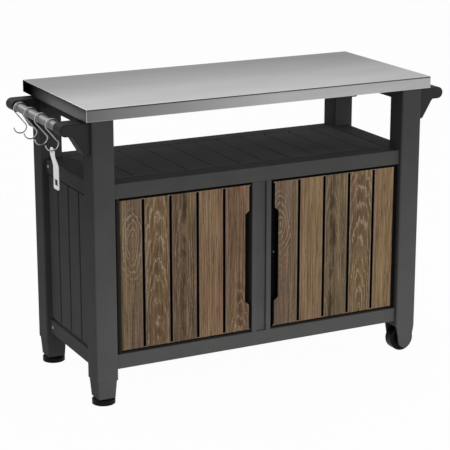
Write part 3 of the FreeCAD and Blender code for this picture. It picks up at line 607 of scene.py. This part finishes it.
@dataclass(frozen=True)
class WoodLook:
    """Planks printed and embossed like aged oak, with limed rings, dark hearts and black sides.

    The planks stand from left to right, with the post in the middle and a slot between all others. A
    band with a colour's name says where that colour shows in the noise or the rings, and by how much.
    """

    name: str
    low: Vector
    high: Vector
    planks: tuple[Plank, ...] = (
        Plank(Stain.TAUPE, -0.428, 0.485, 0.36, 0.045, 0.66, 0.15),
        Plank(Stain.WALNUT, -0.346, 0.10, 0.12, 0.120, 0.62, 0.20),
        Plank(Stain.SMOKED, -0.262, 0.30, 0.12, 0.050, 0.35, 0.90),
        Plank(Stain.TAN, -0.240, 0.30, 0.06, 0.100, 0.20, 0.0),
        Plank(Stain.CHESTNUT, -0.078, 0.09, 0.20, 0.045, 0.55, 0.20),
        Plank(Stain.TAUPE, 0.066, 0.480, 0.36, 0.045, 0.60, 0.15),
        Plank(Stain.TAN, 0.260, 0.35, 0.06, 0.100, 0.20, 0.0),
        Plank(Stain.OLIVE, 0.245, 0.33, 0.14, 0.060, 0.35, 0.85),
        Plank(Stain.WALNUT, 0.348, 0.12, 0.14, 0.120, 0.60, 0.15),
        Plank(Stain.TAN, 0.490, 0.30, 0.06, 0.100, 0.20, 0.0),
    )
    middle_slot: float = 0.040
    pitch: float = 0.088
    limed: Colour = (0.36, 0.28, 0.19)
    dark: Colour = (0.026, 0.016, 0.009)
    golden: Colour = (0.215, 0.150, 0.070)
    ruddy: Colour = (0.190, 0.098, 0.062)
    dusty: Colour = (0.190, 0.155, 0.130)
    side: Colour = (0.0015, 0.0015, 0.0015)
    slot: float = 0.006
    border: float = 0.0014
    slot_end: float = 0.004
    print_depth: float = 0.0012
    # painted shade on the print along the left door's hinge edge
    hinge_shade_width: float = 0.008
    hinge_shade_share: float = 0.5
    pattern_step: float = 3.37
    sway: float = 0.034
    sway_grain: Pattern = Pattern((20.0, 20.0, 6.0), 3.0)
    ripple: float = 0.012
    ripple_grain: Pattern = Pattern((125.0, 125.0, 34.0), 3.0, 0.6)
    rings_per_metre: float = 132.0
    rings_fade: Band = Band(-0.02, 0.01, 0.88)
    heart: Band = Band(0.001, 0.014)
    heart_in_patches: Band = Band(0.32, 0.62)
    broad: Pattern = Pattern((16.0, 16.0, 3.0), 3.0)
    golden_broad: Band = Band(0.46, 0.64, 0.38)
    ruddy_broad: Band = Band(0.32, 0.50, 0.28)
    fibre: Pattern = Pattern((330.0, 330.0, 7.0), 5.0, 0.65)
    dark_fibre: Band = Band(0.35, 0.55, 0.40)
    streaks: Pattern = Pattern((170.0, 170.0, 3.4), 5.0, 0.7)
    limed_streaks: Band = Band(0.50, 0.66, 0.30)
    dark_streaks: Band = Band(0.34, 0.50, 0.42)
    patches: Pattern = Pattern((34.0, 34.0, 13.0), 3.0, 0.6)
    limed_patches: Band = Band(0.37, 0.56)
    limed_rings: Band = Band(0.86, 0.99)
    dark_rings: Band = Band(0.0, 0.40, 0.36)
    flecks: Pattern = Pattern((270.0, 270.0, 20.0), 4.0, 0.65)
    dark_flecks: Band = Band(0.54, 0.66, 0.50)
    dusty_edge: Band = Band(0.0050, 0.0100, 0.35)
    roughness: float = 0.66
    fibre_roughness: float = -0.12
    gloss: float = 0.06
    fibre_height: float = 0.7
    ring_height: float = 0.3
    grain_depth: float = 0.0004

    def build(self) -> bpy.types.Material:
        """Prints and embosses the grain on the planks and leaves their sides black.

        Returns:
            The material.
        """
        tree = Paint(self.name)
        x, z = tree.axis("X"), tree.axis("Z")
        right = [self.middle_slot + self.pitch * step for step in range(1, len(self.planks) // 2)]
        past = [x > edge for edge in (*(-place for place in reversed(right)), 0.0, *right)]
        shade: Tint = self.planks[0].stain.value
        for mask, plank in zip(past, self.planks[1:]):
            shade = tree.mix(shade, plank.stain.value, mask)

        def each(read: Callable[[Plank], float]) -> Value:
            """Joins a number that changes from plank to plank.

            Args:
                read: Reads the number from a plank.

            Returns:
                The number on the plank under a point.
            """
            values = [read(plank) for plank in self.planks]
            total: Value = values[0]
            for mask, before, after in zip(past, values, values[1:]):
                total = mask * (after - before) + total
            return total

        shift = sum(past[1:], past[0]) * self.pattern_step
        off_x = x - each(lambda plank: plank.heart_x)
        off_x = off_x + (tree.noise(self.sway_grain, shift) - MIDDLE) * self.sway
        off_z = (z - each(lambda plank: plank.heart_z)) * each(lambda plank: plank.squash)
        radius = (off_x * off_x + off_z * off_z).root()
        radius = radius + (tree.noise(self.ripple_grain, shift) - MIDDLE) * self.ripple
        rings = (radius * (math.tau * self.rings_per_metre)).sine() * 0.5 + 0.5
        faded = self.rings_fade.over(radius - each(lambda plank: plank.reach))
        shown = (1.0 - faded) * each(lambda plank: plank.rings)
        broad, fibre, streaks, patches, flecks = (
            tree.noise(grain, shift)
            for grain in (self.broad, self.fibre, self.streaks, self.patches, self.flecks))
        heart = self.heart.under(abs(off_x)) * self.heart_in_patches.over(patches)
        pitted = self.dark_flecks.over(flecks)
        from_slot = (abs(x) - self.middle_slot).there_and_back(self.pitch / 2)
        # painted shade: the print darker along the left door's hinge edge
        rim = 1.0 - x.along(self.low.x, self.low.x + self.hinge_shade_width)
        for colour, share in (
                (self.golden, self.golden_broad.over(broad)),
                (self.ruddy, self.ruddy_broad.under(broad)),
                (self.dark, self.dark_fibre.under(fibre)),
                (self.limed, self.limed_streaks.over(streaks)),
                (self.dark, self.dark_streaks.under(streaks)),
                (self.limed, self.limed_rings.over(rings) * self.limed_patches.over(patches) * shown),
                (self.dark, self.dark_rings.under(rings) * shown),
                (self.dark, pitted),
                (self.dark, heart * each(lambda plank: plank.dark)),
                (self.side, rim * self.hinge_shade_share),
                (self.dusty, self.dusty_edge.under(from_slot))):
            shade = tree.mix(shade, colour, share)
        height = fibre * self.fibre_height + rings * self.ring_height - pitted
        return tree.finish(Base_Color=tree.mix(self.side, shade, self.printed(tree, from_slot)),
                           Roughness=self.roughness + fibre * self.fibre_roughness,
                           Specular_IOR_Level=self.gloss, Normal=tree.bump(height, self.grain_depth))

    def printed(self, tree: Paint, from_slot: Shade) -> Shade:
        """Finds the faces that take the print, apart from the slots and a narrow border.

        Args:
            tree: The material.
            from_slot: How far a point is from the nearest slot's middle.

        Returns:
            1 on them, elsewhere 0.
        """
        z = tree.axis("Z")

        def inside(inset: float) -> Shade:
            """Returns 1 where a point is past an inset from the ends, elsewhere 0."""
            return (z > self.low.z + inset) * (z < self.high.z - inset)

        in_slot = (from_slot < self.slot / 2 + self.border) * inside(self.slot_end)
        return (1.0 - in_slot) * inside(self.border) * (tree.axis("Y") < self.low.y + self.print_depth)


# Pieces

def add_object(name: str, data: bpy.types.Mesh | bpy.types.Light | bpy.types.Camera) -> bpy.types.Object:
    """Adds an object to the scene.

    Args:
        name: The object's name.
        data: What it holds.

    Returns:
        The object.
    """
    result = bpy.data.objects.new(name, data)
    bpy.context.scene.collection.objects.link(result)
    return result


def add_mesh(name: str, shape: bmesh.types.BMesh) -> bpy.types.Object:
    """Turns a bmesh into an object in the scene and frees it.

    Args:
        name: The name of the object and its mesh.
        shape: The bmesh.

    Returns:
        The object.
    """
    mesh = bpy.data.meshes.new(name)
    shape.to_mesh(mesh)
    shape.free()
    return add_object(name, mesh)


def shade_smooth(piece: bpy.types.Object, angle: float) -> None:
    """Shades a piece smooth, apart from edges that turn by more than an angle."""
    piece.data.polygons.foreach_set("use_smooth", [True] * len(piece.data.polygons))
    piece.data.set_sharp_from_angle(angle=angle)


@dataclass
class Workshop:
    """The loaded nodes, the finishes that they wear, and the ways to make and hand over pieces."""

    nodes: dict[str, bpy.types.Object]
    finishes: dict[Finish, bpy.types.Material]

    def dress(self, finish: Finish, *names: str) -> None:
        """Gives CAD nodes a finish.

        Args:
            finish: What they wear.
            names: The nodes.
        """
        for name in names:
            slots = self.nodes[name].data.materials
            slots.clear()
            slots.append(self.finishes[finish])
            LOG.info("node %s wears %s", name, finish.name)

    def hand_over(self, name: str, shape: bmesh.types.BMesh, finish: Finish,
                  node: str) -> bpy.types.Object:
        """Makes an object from a bmesh that stands for a CAD node and rides with it.

        Args:
            name: The new piece's name.
            shape: Its mesh, in the frame.
            finish: What it wears.
            node: The CAD node it stands for.

        Returns:
            The new object.
        """
        piece = add_mesh(name, shape)
        piece.data.materials.append(self.finishes[finish])
        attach(piece, self.nodes[node]["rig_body"])
        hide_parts(node)
        LOG.info("piece %s stands for %s", name, node)
        return piece

    def merged_copy(self, name: str) -> bmesh.types.BMesh:
        """Copies a CAD node's mesh and joins its flat faces.

        Args:
            name: The node.

        Returns:
            The copy.
        """
        shape = bmesh.new()
        shape.from_mesh(self.nodes[name].data)
        bmesh.ops.remove_doubles(shape, verts=shape.verts, dist=SAME)
        bmesh.ops.dissolve_limit(shape, angle_limit=FLAT, verts=shape.verts, edges=shape.edges,
                                 delimit=set())
        return shape

    def rounded(self, shape: bmesh.types.BMesh, finish: Finish, name: str, width: float,
                segments: int = 2) -> None:
        """Makes a piece with slightly rounded edges that stands for a CAD node.

        Args:
            shape: Its mesh.
            finish: What it wears.
            name: The node.
            width: The width of the rounding.
            segments: How many facets go round an edge.
        """
        for face in shape.faces:
            face.smooth = True
        piece = self.hand_over(name + "_rounded", shape, finish, name)
        bevel = piece.modifiers.new("Edges", "BEVEL")
        bevel.width = width
        bevel.segments = segments
        bevel.limit_method = "ANGLE"
        bevel.angle_limit = SHARP
        weigh = piece.modifiers.new("Normals", "WEIGHTED_NORMAL")
        weigh.keep_sharp = True

    def soften(self, finish: Finish, width: float, *names: str, segments: int = 2) -> None:
        """Replaces CAD nodes by copies with slightly rounded edges.

        Args:
            finish: What they wear.
            width: The width of the rounding.
            names: The nodes.
            segments: How many facets go round an edge.
        """
        for name in names:
            self.rounded(self.merged_copy(name), finish, name, width, segments)


@dataclass
class TableTop:
    """The folded steel top over its ribbed core."""

    shop: Workshop

    def build(self) -> None:
        """Dresses the top."""
        self.shop.dress(Finish.TOP_STEEL, "tabletop_sheet")
        self.shop.dress(Finish.GRAPHITE, "tabletop_core")


@dataclass
class Carcass:
    """The legs, rails, beams, panels, decks and centre post."""

    shop: Workshop
    leg_edge: float = 0.0012
    rail_edge: float = 0.0008
    recess_top: float = 0.090
    recess_rim: float = 0.0032
    recess_slope: float = 0.0036
    recess_depth: float = 0.0018

    def build(self) -> None:
        """Rounds and dresses the frame and dresses the panels in it."""
        self.shop.soften(Finish.GRAPHITE, self.leg_edge, "front_left_leg", "back_left_leg")
        self.build_wheel_leg("front_right_leg", -1)
        self.build_wheel_leg("back_right_leg", 1)
        self.shop.soften(Finish.GRAPHITE, self.rail_edge, "front_upper_rail", "front_lower_rail",
                         "back_upper_rail", "back_lower_rail", "centre_post")
        self.shop.dress(Finish.GRAPHITE, "back_panel", "door_stop")
        self.shop.dress(Finish.LIT_DECK_GRAPHITE, "shelf_deck", "floor_deck")
        for side in ("left", "right"):
            self.shop.soften(Finish.GRAPHITE, self.rail_edge, f"{side}_upper_side_rail",
                             f"{side}_lower_side_rail")
            self.shop.dress(Finish.GRAPHITE, f"{side}_side_beam", f"{side}_side_panel")
            self.shop.dress(Finish.BLACK, f"{side}_door_catch")
            self.shop.dress(Finish.SCREW_STEEL, f"{side}_side_rail_screws")

    def build_wheel_leg(self, name: str, outwards: int) -> None:
        """Rounds a forked leg and sinks a shallow field into its outer tongue.

        Args:
            name: The leg's node.
            outwards: The sign of Y on the tongue's outer side.
        """
        shape = self.shop.merged_copy(name)
        reach = max(vert.co.y * outwards for vert in shape.verts)

        def outer_faces() -> list[bmesh.types.BMFace]:
            """Returns the faces in the leg's outermost plane."""
            return [face for face in shape.faces
                    if all(abs(vert.co.y * outwards - reach) < SAME for vert in face.verts)]

        for face in outer_faces():
            bmesh.ops.bisect_plane(shape, geom=[face, *face.edges, *face.verts], plane_no=AXIS_Z,
                                   plane_co=AXIS_Z * self.recess_top)
        field = [face for face in outer_faces() if face.calc_center_median().z < self.recess_top]
        for thickness, depth in ((self.recess_rim, 0.0), (self.recess_slope, -self.recess_depth)):
            bmesh.ops.inset_region(shape, faces=field, thickness=thickness, depth=depth,
                                   use_even_offset=True)
        self.shop.rounded(shape, Finish.GRAPHITE, name, self.leg_edge)


@dataclass
class Doors:
    """The two doors with their wood-look fronts, pulls and pins."""

    shop: Workshop

    def build(self) -> None:
        """Dresses the doors."""
        for side in ("left", "right"):
            self.shop.dress(Finish.LINER, f"{side}_door_panel")
            self.shop.dress(Finish.WOOD_LOOK, f"{side}_door_front")
            self.shop.dress(Finish.FIXING_STEEL, f"{side}_hinge_pins", f"{side}_strike_plate")
            self.shop.dress(Finish.SCREW_STEEL, f"{side}_pull_screw")


@dataclass
class Opener:
    """The flat bottle opener: a plate set over in a smooth bend, with an eye and a window."""

    shop: Workshop
    low: Vector
    high: Vector
    wall: float = 0.003
    top_width: float = 0.032
    shoulder_start: float = 0.028
    shoulder_length: float = 0.026
    bend_start: float = 0.016
    bend_length: float = 0.046
    eye_width: float = 0.009
    eye_height: float = 0.008
    eye_drop: float = 0.008
    eye_rounding: float = 0.0026
    window_width: float = 0.025
    window_height: float = 0.018
    window_rise: float = 0.012
    window_rounding: float = 0.002
    top_rounding: float = 0.012
    foot_rounding: float = 0.004
    corner_facets: int = 6
    slice_height: float = 0.002
    edge: float = 0.0003
    edge_turn: float = math.radians(60)
    crease: float = math.radians(30)

    def build(self) -> None:
        """Cuts the plate to its outline, bends it, gives it its wall and breaks its edges."""
        plate = bmesh.new()
        self.cut_blank(plate)
        self.bend(plate)
        back = bmesh.ops.extrude_face_region(plate, geom=plate.faces[:])["geom"]
        bmesh.ops.translate(plate, vec=AXIS_X * self.wall,
                            verts=[item for item in back if isinstance(item, bmesh.types.BMVert)])
        bmesh.ops.recalc_face_normals(plate, faces=plate.faces)
        rims = [edge for edge in plate.edges if edge.calc_face_angle(0.0) > self.edge_turn]
        bmesh.ops.bevel(plate, geom=rims, offset=self.edge, segments=1, profile=0.5,
                        affect="EDGES", material=-1)
        piece = self.shop.hand_over("bottle_opener_plate", plate, Finish.OPENER_STEEL, "bottle_opener")
        shade_smooth(piece, self.crease)

    def cut_blank(self, plate: bmesh.types.BMesh) -> None:
        """Fills the flat outline round the eye and the window.

        Args:
            plate: The mesh to fill.
        """
        head, foot = self.high.z, self.low.z
        shoulder = head - self.shoulder_start
        waist = shoulder - self.shoulder_length
        half_top, half_foot = self.top_width / 2, (self.high.y - self.low.y) / 2
        outline = [(half_top, head), (half_top, shoulder), (half_foot, waist), (half_foot, foot)]
        outline += [(-across, height) for across, height in reversed(outline)]
        self.add_loop(plate, outline, {head: self.top_rounding, foot: self.foot_rounding})
        eye_top = head - self.eye_drop
        window_foot = foot + self.window_rise
        window_top = window_foot + self.window_height
        for half, low, high, radius in (
                (self.eye_width / 2, eye_top - self.eye_height, eye_top, self.eye_rounding),
                (self.window_width / 2, window_foot, window_top, self.window_rounding)):
            corners = [(half, high), (half, low), (-half, low), (-half, high)]
            self.add_loop(plate, corners, {low: radius, high: radius})
        bmesh.ops.delete(plate, geom=plate.faces[:], context="FACES_ONLY")
        bmesh.ops.triangle_fill(plate, edges=plate.edges[:], use_beauty=True, normal=-AXIS_X)

    def add_loop(self, plate: bmesh.types.BMesh, corners: list[tuple[float, float]],
                 rounding: dict[float, float]) -> None:
        """Adds a flat face across X, with rounded corners.

        Args:
            plate: The mesh to add to.
            corners: The corners as (distance from the node's middle along Y, height).
            rounding: The radius of the corners at each height.
        """
        middle = (self.low.y + self.high.y) / 2
        verts = [plate.verts.new((self.low.x, middle + across, height)) for across, height in corners]
        plate.faces.new(verts)
        for level, radius in rounding.items():
            round_off = [vert for vert, (_, height) in zip(verts, corners) if height == level]
            bmesh.ops.bevel(plate, geom=round_off, offset=radius, segments=self.corner_facets,
                            profile=0.5, affect="VERTICES", material=-1)

    def bend(self, plate: bmesh.types.BMesh) -> None:
        """Slices the flat plate and sets its foot over to the far side of the node.

        Args:
            plate: The flat plate.
        """
        start = self.high.z - self.bend_start
        for number in range(round(self.bend_length / self.slice_height) + 1):
            everything = plate.verts[:] + plate.edges[:] + plate.faces[:]
            bmesh.ops.bisect_plane(plate, geom=everything, plane_no=AXIS_Z,
                                   plane_co=AXIS_Z * (start - number * self.slice_height))
        for vert in plate.verts:
            share = min(max((start - vert.co.z) / self.bend_length, 0.0), 1.0)
            vert.co.x += (self.high.x - self.low.x - self.wall) * share * share * (3 - 2 * share)


@dataclass
class Handles:
    """The brackets and bars at the ends, with the hooks and the opener on the left bar."""

    shop: Workshop
    bracket_edge: float = 0.003
    bracket_facets: int = 4
    wire_radius: float = 0.002
    loop_radius: float = 0.020
    bend_radius: float = 0.012
    loop_rise: float = 0.02675
    loop_shift: float = 0.0006
    lean: float = math.radians(39)
    mouth: float = math.radians(5)
    wire_facets: int = 14
    facet_turn: float = math.radians(9)
    least_facets: int = 3
    crease: float = math.radians(50)
    hooks: int = 4

    def build(self) -> None:
        """Builds the hooks and dresses the rest."""
        self.shop.soften(Finish.SHADED_BRACKET, self.bracket_edge, "front_left_bracket", "front_right_bracket",
                         "back_left_bracket", "back_right_bracket", segments=self.bracket_facets)
        self.shop.dress(Finish.BAR_STEEL, "left_handle_bar", "right_handle_bar")
        Opener(self.shop, *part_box("bottle_opener")).build()
        for number in range(self.hooks):
            self.build_hook(f"hook_{number + 1}")

    def build_hook(self, node: str) -> None:
        """Bends one hook from round wire, in place of its CAD node.

        Args:
            node: The hook's node.
        """
        low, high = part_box(node)
        middle = (low + high) / 2
        loop = Vector((self.loop_shift, 0, self.loop_rise))
        along = Vector((-math.sin(self.lean), 0, math.cos(self.lean)))
        foot = along * loop.dot(along)
        height = (loop - foot).length
        normal = (loop - foot).normalized()
        run = math.sqrt((self.loop_radius - self.bend_radius) ** 2 - (height - self.bend_radius) ** 2)
        leave = foot + along * run
        bend = leave + normal * self.bend_radius
        join = loop + (bend - loop).normalized() * self.loop_radius
        mouth = loop + Vector((math.cos(self.mouth), 0, math.sin(self.mouth))) * self.loop_radius
        loop_turn = (self.bearing(join - loop) - self.mouth) % math.tau
        bend_turn = (self.bearing(leave - bend) - self.bearing(join - bend)) % math.tau
        wire = bmesh.new()
        heading = Vector((-math.sin(self.mouth), 0, math.cos(self.mouth)))
        turn = heading.to_track_quat("Z", "Y").to_matrix().to_4x4()
        bmesh.ops.create_circle(wire, radius=self.wire_radius, segments=self.wire_facets,
                                matrix=Matrix.Translation(middle + mouth) @ turn)
        start = wire.edges[:]
        edges = self.sweep(wire, start, middle + loop, loop_turn)
        edges = self.sweep(wire, edges, middle + bend, bend_turn)
        edges = self.run_on(wire, edges, -2 * leave)
        edges = self.sweep(wire, edges, middle - bend, -bend_turn)
        edges = self.sweep(wire, edges, middle - loop, -loop_turn)
        for rim in (start, edges):
            bmesh.ops.contextual_create(wire, geom=rim)
        bmesh.ops.recalc_face_normals(wire, faces=wire.faces)
        piece = self.shop.hand_over(node + "_wire", wire, Finish.WIRE_STEEL, node)
        shade_smooth(piece, self.crease)

    @staticmethod
    def bearing(arm: Vector) -> float:
        """Returns an arm's angle from +X towards +Z."""
        return math.atan2(arm.z, arm.x)

    def sweep(self, wire: bmesh.types.BMesh, edges: Ring, centre: Vector, turn: float) -> Ring:
        """Carries a ring of edges round a centre.

        Args:
            wire: The wire's mesh.
            edges: The ring.
            centre: The centre of the bend.
            turn: The angle, from +X towards +Z.

        Returns:
            The ring's edges at the far end.
        """
        steps = max(self.least_facets, round(abs(turn) / self.facet_turn))
        result = bmesh.ops.spin(wire, geom=edges, cent=centre, axis=-AXIS_Y, angle=turn, steps=steps,
                                dvec=Vector())
        return [item for item in result["geom_last"] if isinstance(item, bmesh.types.BMEdge)]

    @staticmethod
    def run_on(wire: bmesh.types.BMesh, edges: Ring, step: Vector) -> Ring:
        """Carries a ring of edges straight on.

        Args:
            wire: The wire's mesh.
            edges: The ring.
            step: How far it goes.

        Returns:
            The ring's edges at the far end.
        """
        result = bmesh.ops.extrude_edge_only(wire, edges=edges)["geom"]
        verts = [item for item in result if isinstance(item, bmesh.types.BMVert)]
        bmesh.ops.translate(wire, verts=verts, vec=step)
        return [item for item in result if isinstance(item, bmesh.types.BMEdge)
                and all(vert in verts for vert in item.verts)]


@dataclass
class RunningGear:
    """The wheels on their axles and the levelling feet."""

    shop: Workshop

    def build(self) -> None:
        """Dresses the wheels, axles and feet."""
        for end in ("front", "back"):
            self.shop.dress(Finish.BLACK, f"{end}_wheel", f"{end}_levelling_foot")
            self.shop.dress(Finish.FIXING_STEEL, f"{end}_axle")


# Studio

@dataclass(frozen=True)
class Lamp:
    """A soft square lamp aimed at a point."""

    name: str
    place: tuple[float, float, float]
    target: tuple[float, float, float]
    size: float
    watts: float
    in_reflections: bool = True

    def build(self) -> None:
        """Adds the lamp to the scene."""
        light = bpy.data.lights.new(self.name, "AREA")
        light.shape = "SQUARE"
        light.size = self.size
        light.energy = self.watts
        lamp = add_object(self.name, light)
        lamp.location = self.place
        lamp.visible_glossy = self.in_reflections
        aim = Vector(self.target) - Vector(self.place)
        lamp.rotation_euler = aim.to_track_quat("-Z", "Y").to_euler()


@dataclass(frozen=True)
class Camera:
    """The camera at the photograph's viewing angle."""

    azimuth: float = math.radians(-26.827)
    elevation: float = math.radians(15.6715)
    distance: float = 5.3722
    target: tuple[float, float, float] = (0.0749, 0.1677, 0.379)
    lens: float = 131.6
    sensor: float = 36.0
    clip_end: float = 200.0

    def build(self) -> None:
        """Adds the camera and makes it the scene's."""
        data = bpy.data.cameras.new("Camera")
        data.lens = self.lens
        data.sensor_width = self.sensor
        data.clip_end = self.clip_end
        camera = add_object("Camera", data)
        level = math.cos(self.elevation)
        away = Vector((math.sin(self.azimuth) * level, -math.cos(self.azimuth) * level,
                       math.sin(self.elevation)))
        camera.location = Vector(self.target) + away * self.distance
        camera.rotation_euler = (-away).to_track_quat("-Z", "Y").to_euler()
        bpy.context.scene.camera = camera


@dataclass
class Studio:
    """A white floor under an even white sky, with soft lamps."""

    floor_half: float = 40.0
    floor_drop: float = 0.0004
    floor_colour: Colour = (0.86, 0.86, 0.86)
    floor_roughness: float = 0.9
    floor_gloss: float = 0.1
    floor_glow: float = 0.97
    sky_strength: float = 0.45
    lamps: tuple[Lamp, ...] = (
        Lamp("Key", (0.6, -4.6, 1.15), (0.0, 0.0, 0.4), size=2.0, watts=110.0, in_reflections=False),
        Lamp("Fill", (4.2, -2.0, 1.6), (0.0, 0.0, 0.4), size=2.0, watts=42.0),
        Lamp("Back", (-1.7, 4.5, 3.1), (-0.6, 0.0, 0.8), size=1.6, watts=34.0),
    )

    def build(self) -> None:
        """Builds the floor, sky, lamps and camera."""
        self.build_floor()
        self.build_sky()
        for lamp in self.lamps:
            lamp.build()
        Camera().build()
        bpy.context.scene.view_settings.view_transform = "Standard"

    def build_floor(self) -> None:
        """Builds the floor, which looks white to the camera and keeps a soft shadow."""
        shape = bmesh.new()
        bmesh.ops.create_grid(shape, x_segments=1, y_segments=1, size=self.floor_half,
                              matrix=Matrix.Translation(-AXIS_Z * self.floor_drop))
        floor = add_mesh("Floor", shape)
        tree = Paint("Floor paint")
        coat = tree.coat(Base_Color=self.floor_colour, Roughness=self.floor_roughness,
                         Specular_IOR_Level=self.floor_gloss)
        glow = tree.add("ShaderNodeEmission", inputs={"Color": WHITE, "Strength": 1.0})
        seen = (tree.ray("Camera") + tree.ray("Glossy")) * self.floor_glow
        tree.show(tree.add("ShaderNodeMixShader", inputs={0: seen, 1: coat, 2: glow}))
        floor.data.materials.append(tree.material)

    def build_sky(self) -> None:
        """Builds an even sky that is white to the camera and in reflections."""
        world = bpy.data.worlds.new("Sky")
        tree = Tree(world)
        seen = tree.maths("MAXIMUM", tree.ray("Camera"), tree.ray("Glossy"))
        strength = seen * (1.0 - self.sky_strength) + self.sky_strength
        tree.show(tree.add("ShaderNodeBackground", inputs={"Color": WHITE, "Strength": strength}),
                  "ShaderNodeOutputWorld")
        bpy.context.scene.world = world


def build_finishes() -> dict[Finish, bpy.types.Material]:
    """Builds the materials.

    Returns:
        The material of each finish.
    """
    recipes = {
        Finish.TOP_STEEL: SheetSteel("Brushed steel sheet", *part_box("tabletop_sheet")),
        Finish.GRAPHITE: MouldedPlastic("Graphite plastic", (0.060, 0.0593, 0.0587), roughness=0.78,
                                        gloss=0.06),
        # a lighter copy of the frame plastic: painted light on the decks
        Finish.LIT_DECK_GRAPHITE: DeckPlastic("Deck plastic in painted light", (0.104, 0.1029, 0.1018), roughness=0.85,
                                          gloss=0.05, deck_top=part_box("shelf_deck")[1].z),
        # a darker copy of the frame plastic: painted shade under the table top
        Finish.SHADED_BRACKET: MouldedPlastic("Bracket plastic in painted shade", (0.031, 0.0306, 0.0303), roughness=0.6,
                                       gloss=0.08),
        Finish.WOOD_LOOK: WoodLook("Wood-look planks", *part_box("left_door_front")),
        Finish.BLACK: MouldedPlastic("Black plastic", (0.0045, 0.0045, 0.0045), roughness=0.42,
                                     gloss=0.07),
        Finish.LINER: LinerPlastic("Liner plastic", (0.0025, 0.0025, 0.0025), roughness=0.6, gloss=0.03,
                                   rim_start=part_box("left_door_panel")[0].x,
                                   rim_end=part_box("left_door_front")[0].x),
        Finish.BAR_STEEL: BrushedSteel("Brushed bar steel", (0.185, 0.185, 0.185),
                                       *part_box("left_handle_bar"), roughness=0.46),
        Finish.WIRE_STEEL: BrightSteel("Bright wire", (0.42, 0.42, 0.42), roughness=0.30),
        Finish.OPENER_STEEL: BrightSteel("Bright opener steel", (0.62, 0.62, 0.62), roughness=0.24),
        Finish.FIXING_STEEL: BrightSteel("Dark fixing steel", (0.03, 0.03, 0.03), roughness=0.45),
        Finish.SCREW_STEEL: BrightSteel("Screw steel", (0.26, 0.26, 0.26), roughness=0.28),
    }
    return {finish: recipe.build() for finish, recipe in recipes.items()}


def main() -> None:
    """Builds every group of pieces in order and the studio round them."""
    logging.basicConfig(level=logging.INFO, format="%(name)s: %(message)s")
    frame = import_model()
    shop = Workshop(frame["nodes"], build_finishes())
    for group in (TableTop(shop), Carcass(shop), Doors(shop), Handles(shop), RunningGear(shop)):
        group.build()
        LOG.info("built %s", type(group).__name__)
    Studio().build()


if __name__ == "__main__":
    main()
